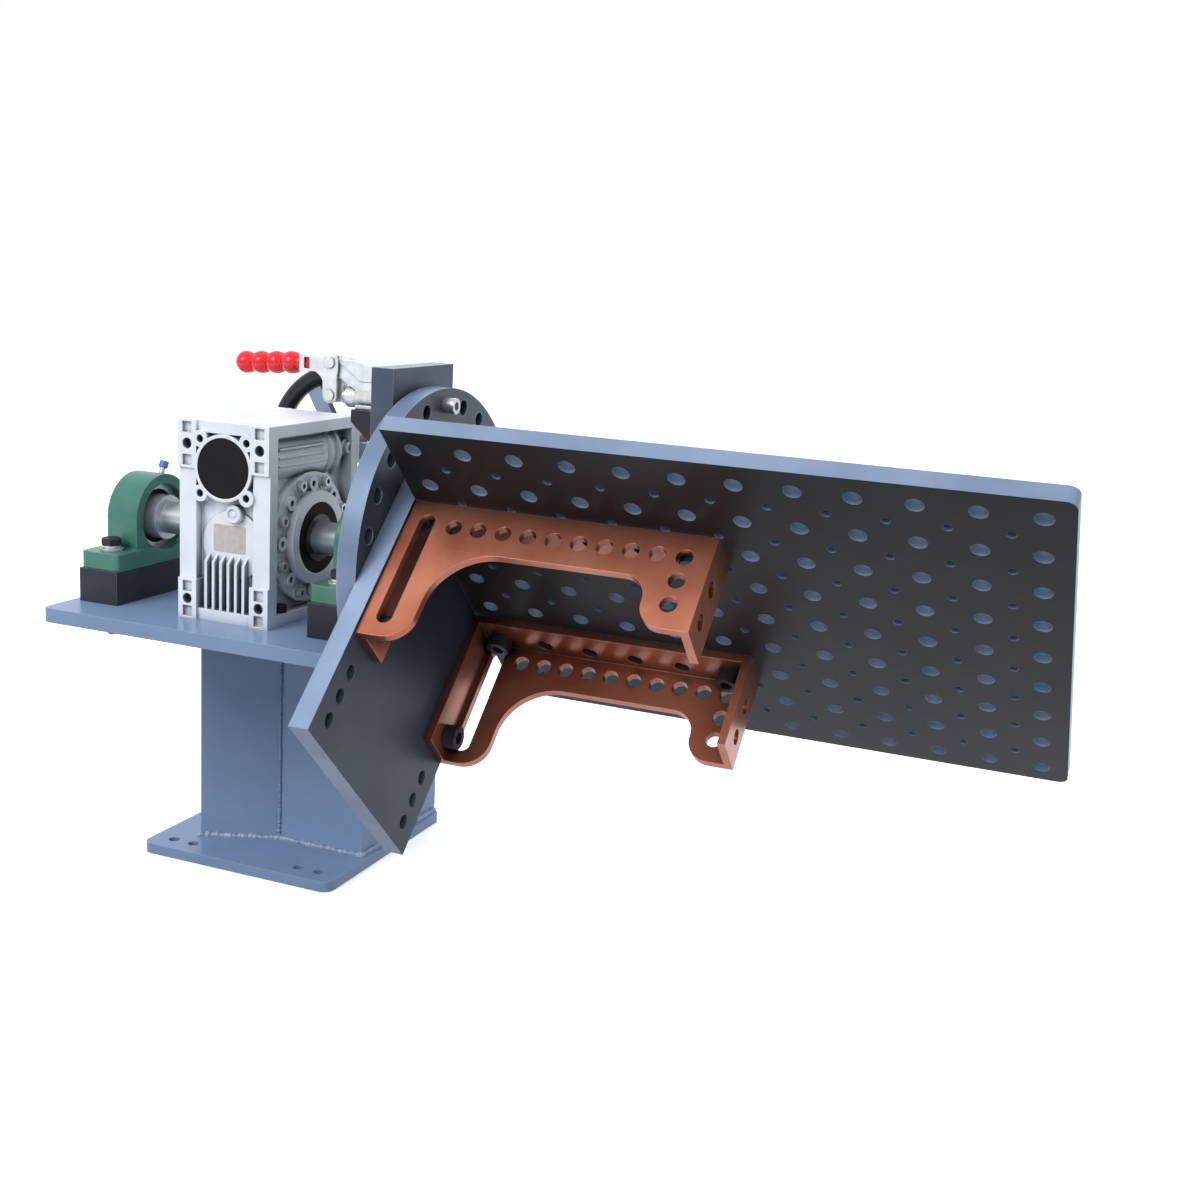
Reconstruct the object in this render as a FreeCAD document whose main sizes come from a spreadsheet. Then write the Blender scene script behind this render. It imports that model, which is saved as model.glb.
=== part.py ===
# Welding positioner: a column with a table, on it a worm gear unit that turns a spindle
# in two pillow block bearings, and on the spindle an index disc and an L-shaped fixture.
# Millimetres, +Z up, the spindle along X, the origin under the middle of the base plate.
import FreeCAD, Part
import math
import os
import re
import Sketcher
from FreeCAD import Placement, Rotation, Vector

os.makedirs("parts", exist_ok=True)
doc = FreeCAD.newDocument("WeldingPositioner")
sheet = doc.addObject("Spreadsheet::Sheet", "Sizes")

# Driving dimensions, by assembly
sizes = {
    # base plate
    "base_x": 250, "base_y": 265, "base_t": 12, "base_corner_r": 12,
    "foot_hole_r": 6.5, "foot_hole_in_x": 27, "foot_hole_in_y": 24, "foot_hole_pitch": 27,
    # column, a welded box with one wing turned forward
    "column_h": 289, "column_wall": 8, "seam_x": 6, "column_right": 116, "column_front": 46,
    "wing_x": 86, "wing_forward": 38, "wing_step": 2, "weld_leg": 6,
    # table plate
    "table_t": 15, "table_left": 137, "table_right": 231, "table_front": 274.5,
    "table_back": 132.5, "table_corner_r": 8,
    # spindle line, measured back from the middle of the base
    "spindle_front": 142.5, "shaft_r": 17.5, "shaft_left": 134, "fixture_tilt": 45,
    # risers under the pillow blocks
    "riser_x": 48, "riser_y": 171, "riser_h": 36, "left_bearing": 103, "right_bearing": 177,
    # pillow blocks
    "bearing_centre_h": 48, "foot_y": 167, "foot_x": 48, "foot_t": 18, "foot_corner_r": 6,
    "arch_r": 46.5, "arch_x": 38, "foot_bolt_pitch": 127, "foot_bolt_r": 6,
    "bolt_clear": 0.5, "hex_across": 19, "hex_h": 8, "flat_washer_r": 12, "flat_washer_t": 2.5,
    "spring_washer_r": 9.5, "spring_washer_t": 3,
    # ball bearing units
    "unit_r": 36, "outer_bore_r": 29.5, "outer_half_x": 10, "seal_half_x": 7.5,
    "inner_r": 24, "inner_short": 17.5, "inner_long": 25.5, "seal_gap": 0.3,
    "set_screw_r": 3, "set_screw_in": 5.5, "nipple_r": 3.2, "nipple_h": 9, "cap_r": 5, "cap_h": 7,
    # worm gear unit
    "gear_x": 53, "gear_wide": 108, "gear_deep": 172, "gear_high": 205, "gear_centres": 75,
    "slab_t": 12, "side_recess": 14, "front_recess": 13, "pillar": 20, "pillar_deep": 13, "pillar_set_back": 3,
    "pad_x": 22, "pad_deep": 16, "pad_top_h": 49, "pad_low_h": 42, "pad_hole_r": 5.5, "pad_hole_deep": 13,
    "pocket_size": 11, "pocket_deep": 4, "tube_r": 33, "rib_t": 4, "rib_out": 4,
    "chamber_r": 65, "worm_bore_r": 19.5, "flange_r": 34, "lug_r": 8.5, "lug_half": 27.5,
    "lug_hole_r": 4, "cap_plate_r": 30.5, "cap_plate_t": 5, "fin_t": 3, "fin_pitch": 9,
    "fin_top": 66, "fin_out": 10, "plug_boss_r": 9.5, "plug_up": 29, "plug_right": 10, "plug_r": 6,
    "foot_screw_r": 4, "foot_screw_half_y": 51, "foot_head_r": 6, "foot_head_h": 8,
    # side covers, hollow shaft and wheel
    "cover_r": 68, "cover_t": 8, "hub_boss_r": 49, "hub_boss_end": 59, "cover_screw_ring": 60.5,
    "cover_head_r": 5.5, "cover_head_h": 6, "cover_tap_ring": 56, "lobe_r": 8.5,
    "cover_tap_r": 3.5, "tap_boss_r": 7.5, "tap_boss_h": 4,
    "gear_bearing_r": 40, "gear_bearing_x": 16, "gear_bearing_in": 36,
    "oil_seal_r": 37.5, "oil_seal_x": 7,
    "hollow_r": 25, "hollow_half": 60, "wheel_hub_r": 50, "wheel_x": 30,
    "gear_module": 3, "gear_teeth": 40, "pressure_angle": 20, "flank_clear": 0.35, "tip_clear": 0.6,
    "key_wide": 8, "key_high": 7, "key_long": 80,
    # worm, its bearings and the handwheel
    "worm_half": 38, "worm_turns": 7, "worm_shaft_r": 10, "worm_bearing_r": 23.5, "worm_bearing_y": 14,
    "worm_span": 60, "worm_nose": 78, "worm_seal_y": 7, "worm_seal_gap": 0.3,
    "rim_r": 85, "rim_tube_r": 10, "rim_at": 142.5, "spoke_wide": 18, "spoke_t": 9, "spoke_count": 3,
    "spoke_turn": 120, "hand_hub_r": 20, "hand_hub_y": 44, "hand_washer_r": 16, "hand_washer_t": 3,
    "nut_across": 24, "nut_h": 10, "hand_key": 6, "hand_key_long": 30,
    # index disc
    "disc_t": 20, "disc_r": 167, "disc_x": 235, "index_ring": 150, "index_hole_r": 8,
    "index_count": 24, "disc_screw_half": 48, "disc_screw_top": 14, "disc_screw_pitch": 44,
    "disc_screw_r": 5, "disc_screw_in": 13, "disc_head_r": 8, "disc_head_deep": 10,
    "stop_pin_out": 12, "stop_pin_in": 11, "socket_r": 4, "socket_deep": 6, "fit_clear": 0.05,
    # L-shaped fixture, in the tilted frame of the spindle
    "end_t": 20, "end_half": 125, "end_low": 271, "end_high": 29, "plate_shift": 8,
    "end_hole_half": 100, "end_hole_first": 24, "end_hole_pitch": 25, "end_hole_r": 7.5,
    "plate_long": 600, "plate_half": 225, "plate_t": 16, "plate_face": 17.7, "plate_corner_r": 10,
    "grid_pitch": 50, "grid_edge": 25, "grid_hole_r": 8, "grid_long": 12, "grid_wide": 9, "grid_tap_r": 4.2,
    "plate_screw_r": 4, "plate_screw_pitch": 50, "plate_screw_in": 25, "plate_head_r": 6.5, "plate_head_h": 8,
    "end_bolt_up": 124,
    # clamping squares
    "square_t": 8, "square_half": 122, "square_long": 300, "square_leg": 150, "square_strip": 50,
    "square_far": 100, "square_flange": 50, "square_inner_r": 12, "square_hole_count": 10,
    "square_hole_pitch": 25, "slot_from_end": 21, "slot_low": 22, "slot_high": 128, "slot_half": 8,
    "fix_bolt_r": 7.7, "fix_head_r": 12, "fix_head_h": 14, "fix_socket_r": 6, "fix_socket_deep": 7,
    "fix_nut_across": 24, "fix_nut_h": 12, "square_hole_first": 50,
    # index block and locking clamp
    "block_x": 206, "block_t": 24, "block_y": 124, "block_above_pin": 36.5, "block_shaft_r": 24,
    "block_screw_r": 5, "block_screw_half": 45, "block_screw_in": 20, "block_head_r": 8, "block_head_h": 10,
    "shelf_x": 46, "shelf_y": 44, "shelf_t": 12, "shelf_drop": 30,
    "plunger_r": 7, "plunger_gap": 0.8, "guide_r": 11, "guide_left": 144, "clamp_half_y": 15,
    "pivot_x": 128, "pivot_up": 33, "rivet_r": 3, "rivet_head_r": 5.5, "rivet_head_h": 2,
    "tongue_half": 4, "tongue_slot_half": 4.3, "cheek_gap": 5, "cheek_t": 3, "lever_gap": 8.6, "lever_t": 2.5,
    "lever_arm_r": 8, "lever_left": 92, "grip_left": 16, "grip_r": 13, "grip_waist": 2, "grip_bulbs": 4,
    "tang_long": 50, "tang_half_y": 8.6, "tang_half_z": 5,
}
for row, (alias, value) in enumerate(sizes.items(), start=1):
    sheet.set(f"A{row}", alias)
    sheet.set(f"B{row}", str(value))
    sheet.setAlias(f"B{row}", alias)
doc.recompute()

# Places that follow from the sizes above, as expressions of the sheet
table_low = "(base_t + column_h)"
deck = f"({table_low} + table_t)"
axis_z = f"({deck} + riser_h + bearing_centre_h)"
axis_y = "(-spindle_front)"
worm_z = f"({axis_z} + gear_centres)"
gear_top = f"({deck} + gear_high)"
gear_left = "(gear_x - gear_wide / 2)"
gear_front = f"({axis_y} - gear_deep / 2)"
pin_z = f"({axis_z} + index_ring)"
disc_front = "(disc_x + disc_t)"
fixture_x = "(disc_x + disc_t + end_t)"
block_middle = "(block_x + block_t / 2)"
block_screw_rows = [f"({axis_y} {side} block_screw_half)" for side in "-+"]
pivot_z = f"({pin_z} + pivot_up)"


def bound(text):
    """The expression with every size name pointing into the sheet."""
    return re.sub(r"\b(?!pi\b)([a-z]\w*)\b(?!\()", r"Sizes.\1", str(text))


def value(text):
    return float(sheet.evalExpression(bound(text)))


def place(thing, at=("0", "0", "0"), axis=Vector(0, 0, 1), angle=0):
    thing.Placement = Placement(Vector(*[value(c) for c in at]), Rotation(axis, angle))
    for letter, text in zip("xyz", at):
        thing.setExpression(f"Placement.Base.{letter}", bound(text))
    return thing


def box(label, size, at):
    thing = doc.addObject("Part::Box", label)
    for side, text in zip(("Length", "Width", "Height"), size):
        thing.setExpression(side, bound(text))
    return place(thing, at)


turns = {"x": (Vector(0, 1, 0), 90), "y": (Vector(-1, 0, 0), 90), "z": (Vector(0, 0, 1), 0)}


def rod(label, radius, length, at, along="z"):
    thing = doc.addObject("Part::Cylinder", label)
    thing.setExpression("Radius", bound(radius))
    thing.setExpression("Height", bound(length))
    axis, angle = turns[along]
    return place(thing, at, axis, angle)


def hexagon(label, across, length, at, along="z"):
    thing = doc.addObject("Part::Prism", label)
    thing.Polygon = 6
    thing.setExpression("Circumradius", bound(f"({across}) / 2 / cos(30)"))
    thing.setExpression("Height", bound(length))
    axis, angle = turns[along]
    return place(thing, at, axis, angle)


def fuse(label, parts):
    if len(parts) == 1:
        return parts[0]
    thing = doc.addObject("Part::MultiFuse", label)
    thing.Shapes = parts
    thing.Refine = True
    return thing


def cut(label, base, tools):
    thing = doc.addObject("Part::Cut", label)
    thing.Base = base
    thing.Tool = fuse(label + "Tools", tools)
    thing.Refine = True
    return thing


def group(label, solids):
    thing = doc.addObject("Part::Compound", label)
    thing.Links = solids
    return thing


def ring(label, outer, inner, length, at, along="x"):
    return cut(label, rod(label + "Outer", outer, length, at, along), [rod(label + "Bore", inner, length, at, along)])


def body(label):
    return doc.addObject("PartDesign::Body", label)


def sketch(owner, plane, offset="0"):
    """A sketch on one of the body's own origin planes, moved along the plane's normal."""
    drawing = owner.newObject("Sketcher::SketchObject", owner.Name + "Sketch")
    base = next(f for f in owner.Origin.OriginFeatures if f.Role == plane)
    drawing.AttachmentSupport = [(base, "")]
    drawing.MapMode = "FlatFace"
    drawing.setExpression("AttachmentOffset.Base.z", bound(offset))
    return drawing


def pin_point(drawing, geometry, vertex, x, y):
    for kind, text in (("DistanceX", x), ("DistanceY", y)):
        index = drawing.addConstraint(Sketcher.Constraint(kind, -1, 1, geometry, vertex, value(text)))
        drawing.setExpression(f"Constraints[{index}]", bound(text))


def circle(drawing, x, y, radius):
    shape = Part.Circle(Vector(value(x), value(y), 0), Vector(0, 0, 1), value(radius))
    geometry = drawing.addGeometry(shape, False)
    index = drawing.addConstraint(Sketcher.Constraint("Radius", geometry, value(radius)))
    drawing.setExpression(f"Constraints[{index}]", bound(radius))
    pin_point(drawing, geometry, 3, x, y)


def outline(drawing, points):
    """A closed outline of straight lines through points that follow the sheet."""
    spots = [Vector(value(x), value(y), 0) for x, y in points]
    first = drawing.GeometryCount
    for here, there in zip(spots, spots[1:] + spots[:1]):
        drawing.addGeometry(Part.LineSegment(here, there), False)
    for step, (x, y) in enumerate(points):
        after = first + (step + 1) % len(points)
        drawing.addConstraint(Sketcher.Constraint("Coincident", first + step, 2, after, 1))
        pin_point(drawing, first + step, 1, x, y)


def rectangle(drawing, x0, x1, y0, y1):
    outline(drawing, [(x0, y0), (x1, y0), (x1, y1), (x0, y1)])


def pad(owner, drawing, length, both=False, back=False):
    feature = owner.newObject("PartDesign::Pad", owner.Name + "Pad")
    feature.Profile = drawing
    feature.setExpression("Length", bound(length))
    feature.SideType = "Symmetric" if both else "One side"
    feature.Reversed = back
    return feature


def pocket(owner, drawing, depth=None, back=False):
    """A pocket to a depth, or with no depth through everything on both sides of its sketch."""
    doc.recompute()
    before = owner.Shape.Volume
    feature = owner.newObject("PartDesign::Pocket", owner.Name + "Pocket")
    feature.Profile = drawing
    feature.Reversed = back
    if depth is None:
        feature.Type = "ThroughAll"
        feature.SideType = "Symmetric"
    else:
        feature.setExpression("Length", bound(depth))
    doc.recompute()
    if owner.Shape.Volume >= before - 1e-6:
        raise RuntimeError(owner.Name + ": a pocket cuts nothing")
    return feature


def round_upright(owner, feature, radius, wanted=lambda edge: True):
    """Rounds the edges of the last feature that run along Z of the body and are wanted."""
    doc.recompute()
    names = []
    for number, edge in enumerate(feature.Shape.Edges, start=1):
        run = edge.Vertexes[-1].Point - edge.Vertexes[0].Point
        if run.Length > 1e-6 and abs(abs(run.z) - run.Length) < 1e-6 and wanted(edge):
            names.append(f"Edge{number}")
    rounding = owner.newObject("PartDesign::Fillet", owner.Name + "Fillet")
    rounding.Base = (feature, names)
    rounding.setExpression("Radius", bound(radius))
    owner.Tip = rounding
    return rounding


def revolve(owner, drawing, axis):
    feature = owner.newObject("PartDesign::Revolution", owner.Name + "Revolution")
    feature.Profile = drawing
    feature.ReferenceAxis = (drawing, [axis])
    feature.Angle = 360
    return feature


nodes = []


def publish(thing, name):
    """Names the sub-part. Its label is the name of its file."""
    thing.Label = name
    nodes.append(thing)
    return thing


def on_fixture(thing, name):
    """Turns a sub-part that is built square to the spindle into the pose at rest."""
    place(thing, ("0", axis_y, axis_z), Vector(-1, 0, 0), sizes["fixture_tilt"])
    thing.setExpression("Placement.Rotation.Angle", bound("fixture_tilt"))
    return publish(thing, name)


# Base plate with a pair of floor bolt holes at each corner
def make_base():
    plate = body("BasePlate")
    blank = sketch(plate, "XY_Plane")
    rectangle(blank, "-base_x / 2", "base_x / 2", "-base_y / 2", "base_y / 2")
    slab = pad(plate, blank, "base_t")
    round_upright(plate, slab, "base_corner_r")
    holes = sketch(plate, "XY_Plane")
    outer = "(base_x / 2 - foot_hole_in_x)"
    for side in ("", "-"):
        for reach in (outer, f"({outer} - foot_hole_pitch)"):
            for end in ("", "-"):
                circle(holes, side + reach, end + "(base_y / 2 - foot_hole_in_y)", "foot_hole_r")
    pocket(plate, holes)
    publish(plate, "base_plate")


# Column of two welded boxes. The left one has its front turned towards the operator.
wing_slope = "(wing_forward / wing_x)"
wing_left = "(seam_x - wing_x)"
column_back = "(base_y / 2)"


def make_column():
    right = body("ColumnBox")
    outer = sketch(right, "XY_Plane", "base_t")
    rectangle(outer, "seam_x", "column_right", "-column_front", column_back)
    shell = pad(right, outer, "column_h")
    inner = sketch(right, "XY_Plane", "base_t")
    wall = "column_wall"
    rectangle(inner, f"seam_x + {wall}", f"column_right - {wall}", f"-column_front + {wall}",
              f"{column_back} - {wall}")
    pocket(right, inner)
    publish(right, "column_box")

    left = body("ColumnWing")
    seam = "(-column_front + wing_step)"
    outer = sketch(left, "XY_Plane", "base_t")
    outline(outer, [("seam_x", seam), ("seam_x", column_back), (wing_left, column_back),
                    (wing_left, f"{seam} - wing_forward")])
    pad(left, outer, "column_h")
    lean = f"(column_wall * sqrt(1 + {wing_slope} * {wing_slope}))"
    inner = sketch(left, "XY_Plane", "base_t")
    outline(inner, [(f"seam_x - {wall}", f"{seam} + {lean} - {wall} * {wing_slope}"),
                    (f"seam_x - {wall}", f"{column_back} - {wall}"),
                    (f"{wing_left} + {wall}", f"{column_back} - {wall}"),
                    (f"{wing_left} + {wall}", f"{seam} - wing_forward + {lean} + {wall} * {wing_slope}")])
    pocket(left, inner)
    publish(left, "column_wing")

    # Fillet welds: one up the seam, one along the foot of each front face and of the right side
    upright = body("SeamWeld")
    corner = sketch(upright, "XY_Plane", "base_t + weld_leg")
    outline(corner, [("seam_x", seam), ("seam_x", "-column_front"),
                     ("seam_x - weld_leg", f"{seam} - weld_leg * {wing_slope}")])
    pad(upright, corner, "column_h - 2 * weld_leg")
    beads = [upright]
    for label, start, length, turn in (
            ("FrontWeld", ("seam_x", "-column_front", "base_t"), "column_right - seam_x", None),
            ("WingWeld", (wing_left, f"{seam} - wing_forward", "base_t"),
             f"wing_x * sqrt(1 + {wing_slope} * {wing_slope}) - weld_leg", "wing")):
        bead = doc.addObject("Part::Wedge", label)
        for side, text in (("Xmin", "0"), ("Xmax", length), ("Ymin", "0"), ("Ymax", "weld_leg"),
                           ("Zmin", "0"), ("Zmax", "weld_leg"), ("X2min", "0"), ("X2max", length),
                           ("Z2min", "0"), ("Z2max", "0.01")):
            bead.setExpression(side, bound(text))
        tip_up = Rotation(Vector(1, 0, 0), 90)
        swing = Rotation(Vector(0, 0, 1), math.degrees(math.atan(value(wing_slope))) if turn else 0)
        place(bead, start)
        bead.Placement = Placement(bead.Placement.Base, swing * tip_up)
        beads.append(bead)
    return beads


def make_table():
    plate = body("TablePlate")
    blank = sketch(plate, "XY_Plane", table_low)
    rectangle(blank, "-table_left", "table_right", "-table_front", "table_back")
    slab = pad(plate, blank, "table_t")
    round_upright(plate, slab, "table_corner_r")
    holes = sketch(plate, "XY_Plane", table_low)
    for x in ("-left_bearing", "right_bearing"):
        for side in ("-", "+"):
            circle(holes, x, f"{axis_y} {side} foot_bolt_pitch / 2", "foot_bolt_r + bolt_clear")
    for x, y in foot_screw_spots():
        circle(holes, x, y, "foot_screw_r")
    for y in block_screw_rows:
        circle(holes, block_middle, y, "block_screw_r + bolt_clear")
    pocket(plate, holes)
    publish(plate, "table_plate")


# Pillow block bearings on their risers
def make_bearing(side, x, long_side):
    riser = body("Riser" + side)
    blank = sketch(riser, "XY_Plane", deck)
    rectangle(blank, f"{x} - riser_x / 2", f"{x} + riser_x / 2", f"{axis_y} - riser_y / 2", f"{axis_y} + riser_y / 2")
    pad(riser, blank, "riser_h")
    holes = sketch(riser, "XY_Plane", deck)
    for end in ("-", "+"):
        circle(holes, x, f"{axis_y} {end} foot_bolt_pitch / 2", "foot_bolt_r + bolt_clear")
    pocket(riser, holes)
    publish(riser, f"riser_{side}")

    # Housing: a rounded foot under an arch, with a seat for the bearing unit
    housing = body("Housing" + side)
    seat = f"({deck} + riser_h)"
    foot = sketch(housing, "XY_Plane", seat)
    rectangle(foot, f"{x} - foot_x / 2", f"{x} + foot_x / 2", f"{axis_y} - foot_y / 2", f"{axis_y} + foot_y / 2")
    slab = pad(housing, foot, "foot_t")
    round_upright(housing, slab, "foot_corner_r")
    arch = sketch(housing, "YZ_Plane", x)
    circle(arch, axis_y, axis_z, "arch_r")
    pad(housing, arch, "arch_x", both=True)
    skirt = sketch(housing, "YZ_Plane", x)
    outline(skirt, [(f"{axis_y} - arch_r", f"{seat} + foot_t / 2"), (f"{axis_y} + arch_r", f"{seat} + foot_t / 2"),
                    (f"{axis_y} + arch_r", axis_z), (f"{axis_y} - arch_r", axis_z)])
    pad(housing, skirt, "arch_x", both=True)
    bore = sketch(housing, "YZ_Plane", x)
    circle(bore, axis_y, axis_z, "unit_r")
    pocket(housing, bore)
    holes = sketch(housing, "XY_Plane", seat)
    for end in ("-", "+"):
        circle(holes, x, f"{axis_y} {end} foot_bolt_pitch / 2", "foot_bolt_r + bolt_clear")
    pocket(housing, holes)
    publish(housing, f"pillow_block_{side}")

    centre = (axis_y, axis_z)
    outer = ring("OuterRing" + side, "unit_r", "outer_bore_r", "2 * outer_half_x", (f"{x} - outer_half_x",) + centre)
    publish(outer, f"bearing_outer_ring_{side}")
    seals = ring("Shield" + side, "outer_bore_r", "inner_r + seal_gap", "2 * seal_half_x", (f"{x} - seal_half_x",) + centre)
    publish(seals, f"bearing_shield_{side}")
    reach = ("inner_short", "inner_long") if long_side else ("inner_long", "inner_short")
    inner = ring("InnerRing" + side, "inner_r", "shaft_r", "inner_short + inner_long", (f"{x} - {reach[0]}",) + centre)
    screw_x = f"({x} + inner_long - set_screw_in)" if long_side else f"({x} - inner_long + set_screw_in)"
    bores = [rod("SetBore" + side, "set_screw_r", "inner_r + 1", (screw_x,) + centre, "z")]
    publish(cut("InnerDrilled" + side, inner, bores), f"bearing_inner_ring_{side}")
    screw = rod("SetScrew" + side, "set_screw_r", "inner_r - shaft_r - 0.3", (screw_x, axis_y, f"{axis_z} + shaft_r"), "z")

    # Grease nipple on top of the arch, towards the back of the block
    lean = 25
    nipple = rod("Nipple" + side, "nipple_r", "nipple_h", (x, axis_y, axis_z))
    blue = rod("NippleCap" + side, "cap_r", "cap_h", (x, axis_y, axis_z))
    swing = Rotation(Vector(-1, 0, 0), lean)
    for thing, start in ((nipple, "arch_r - 1"), (blue, "arch_r - 1 + nipple_h")):
        far = value(start)
        rise = swing.multVec(Vector(0, 0, far))
        thing.setExpression("Placement.Base.y", bound(f"{axis_y} + ({start}) * sin({lean})"))
        thing.setExpression("Placement.Base.z", bound(f"{axis_z} + ({start}) * cos({lean})"))
        thing.Placement = Placement(Vector(value(x), value(axis_y) + rise.y, value(axis_z) + rise.z), swing)
    seated = cut("NippleSeat" + side, nipple, [rod("NippleArch" + side, "arch_r", "arch_x", (f"{x} - arch_x / 2",) + centre, "x")])
    return screw, seated, blue


def make_foot_bolts():
    """Hex bolts through pillow block, riser and table, each with two washers and a head below."""
    bolts = []
    flats = []
    springs = []
    seat = f"({deck} + riser_h + foot_t)"
    for x in ("-left_bearing", "right_bearing"):
        for side in ("-", "+"):
            y = f"({axis_y} {side} foot_bolt_pitch / 2)"
            under = f"({seat} + flat_washer_t + spring_washer_t)"
            tag = f"{len(bolts)}"
            head = hexagon("BoltHead" + tag, "hex_across", "hex_h", (x, y, under))
            low = f"({table_low} - hex_h)"
            shank = rod("BoltShank" + tag, "foot_bolt_r", f"{under} - {low}", (x, y, low))
            nut = hexagon("BoltNut" + tag, "hex_across", "hex_h", (x, y, low))
            bolts.append(fuse("Bolt" + tag, [head, shank, nut]))
            flats.append(ring("FlatWasher" + tag, "flat_washer_r", "foot_bolt_r", "flat_washer_t", (x, y, seat), "z"))
            springs.append(ring("SpringWasher" + tag, "spring_washer_r", "foot_bolt_r", "spring_washer_t",
                                (x, y, f"{seat} + flat_washer_t"), "z"))
    publish(group("FootBolts", bolts), "pillow_block_bolts")
    publish(group("FlatWashers", flats), "flat_washers")
    publish(group("SpringWashers", springs), "spring_washers")


# Worm gear unit: housing with fins, recessed sides and corner pads
def make_gear_housing():
    front = gear_front
    middle_y = "(gear_deep - 2 * front_recess)"
    core = box("GearCore", ("gear_wide - 2 * side_recess", middle_y, "gear_high"),
               (f"{gear_left} + side_recess", f"{front} + front_recess", deck))
    solids = [core]
    for z, name in ((deck, "Low"), (f"{gear_top} - slab_t", "Top")):
        solids.append(box("GearSlab" + name, ("gear_wide", "gear_deep - 2 * pillar_set_back", "slab_t"),
                          (gear_left, f"{front} + pillar_set_back", z)))
    holes = []
    for x, px in ((gear_left, gear_left), ("(gear_x + gear_wide / 2 - pillar)", "(gear_x + gear_wide / 2 - pad_x)")):
        for end, y in (("Front", f"({front} + pillar_set_back)"), ("Back", f"({front} + gear_deep - pillar_deep - pillar_set_back)")):
            solids.append(box("Pillar" + end, ("pillar", "pillar_deep", "gear_high"), (x, y, deck)))
            pad_y = front if end == "Front" else f"({front} + gear_deep - pad_deep)"
            mouth = front if end == "Front" else f"({front} + gear_deep - pad_hole_deep)"
            pit = front if end == "Front" else f"({front} + gear_deep - pocket_deep)"
            for z, high in ((deck, "pad_low_h"), (f"({gear_top} - pad_top_h)", "pad_top_h")):
                solids.append(box("Pad" + end, ("pad_x", "pad_deep", high), (px, pad_y, z)))
                mid = f"({px} + pad_x / 2)"
                holes.append(rod("PadHole", "pad_hole_r", "pad_hole_deep", (mid, mouth, f"{z} + {high} / 2"), "y"))
                for lift in (f"({z} + 2.5)", f"({z} + {high} - 2.5 - pocket_size)"):
                    holes.append(box("PadPocket", ("pocket_size", "pocket_deep", "pocket_size"),
                                     (f"{mid} - pocket_size / 2", pit, lift)))
    # Worm tube with ribs, and the input flange with its four lugs
    solids.append(rod("WormTube", "tube_r", "gear_deep - 2 * front_recess + 8", ("gear_x", f"{front} + front_recess - 4", worm_z), "y"))
    for turn in (-20, 0, 20):
        rib = f"({worm_z} + (tube_r - 6) * sin({turn}))"
        solids.append(box("TubeRib", ("2 * tube_r + 2 * rib_out", "gear_deep - 4 * front_recess", "rib_t"),
                          ("gear_x - tube_r - rib_out", f"{front} + 2 * front_recess", f"{rib} - rib_t / 2")))
    solids.append(rod("InputFlange", "flange_r", "front_recess", ("gear_x", front, worm_z), "y"))
    for dx in ("-", "+"):
        for dz in ("-", "+"):
            spot = (f"gear_x {dx} lug_half", front, f"{worm_z} {dz} lug_half")
            solids.append(rod("FlangeLug", "lug_r", "front_recess", spot, "y"))
            holes.append(rod("LugHole", "lug_hole_r", "front_recess", spot, "y"))
    solids.append(rod("BackBoss", "flange_r", "front_recess", ("gear_x", f"{front} + gear_deep - front_recess", worm_z), "y"))
    # Cooling fins below the flange, and the oil plug boss above them
    for step in range(6):
        x = f"(gear_x + {step - 2.5} * fin_pitch - fin_t / 2)"
        fin = doc.addObject("Part::Wedge", f"Fin{step}")
        for side, text in (("Xmin", "0"), ("Xmax", "fin_t"), ("Ymin", "0"), ("Ymax", "fin_out"), ("Zmin", "fin_out / 2"),
                           ("Zmax", "fin_top - fin_out"), ("X2min", "0"), ("X2max", "fin_t"), ("Z2min", "0"), ("Z2max", "fin_top")):
            fin.setExpression(side, bound(text))
        place(fin, (x, f"{front} + front_recess - fin_out", f"{deck} + slab_t / 2"))
        solids.append(fin)
    plug_at = ("gear_x + plug_right", f"{front} + 4", f"{axis_z} + plug_up")
    solids.append(rod("PlugBoss", "plug_boss_r", "front_recess - 4", plug_at, "y"))
    # Round walls of the wheel chamber on both sides, with a lobe behind each cover screw
    solids.append(rod("Chamber", "cover_r", "gear_wide - 2 * side_recess", (f"{gear_left} + side_recess", axis_y, axis_z), "x"))
    # Hollows: wheel chamber, worm bore, bearing seats, cap seat and plug hole
    holes.append(rod("WheelRoom", "chamber_r", "gear_wide - 2 * side_recess", (f"{gear_left} + side_recess", axis_y, axis_z), "x"))
    holes.append(rod("WormRoom", "worm_bore_r", "gear_deep", ("gear_x", front, worm_z), "y"))
    holes.append(rod("FrontSeat", "worm_bearing_r", "gear_deep / 2 - worm_span", ("gear_x", front, worm_z), "y"))
    holes.append(rod("BackSeat", "worm_bearing_r", "gear_deep / 2 - worm_span",
                     ("gear_x", f"{axis_y} + worm_span", worm_z), "y"))
    holes.append(rod("CapSeat", "cap_plate_r", "cap_plate_t", ("gear_x", front, worm_z), "y"))
    holes.append(rod("PlugHole", "plug_r", "front_recess", plug_at, "y"))
    for x, y in foot_screw_spots():
        holes.append(rod("FootScrewBore", "foot_screw_r + bolt_clear", "slab_t", (x, y, deck)))
    publish(cut("GearHousing", fuse("GearBlank", solids), holes), "gear_housing")


def foot_screw_spots():
    """Screws through the lower slab, in the recess on each side."""
    return [(f"(gear_x {dx} (gear_wide / 2 - side_recess / 2))", f"({axis_y} {dy} foot_screw_half_y)")
            for dx in "-+" for dy in "-+"]



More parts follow.
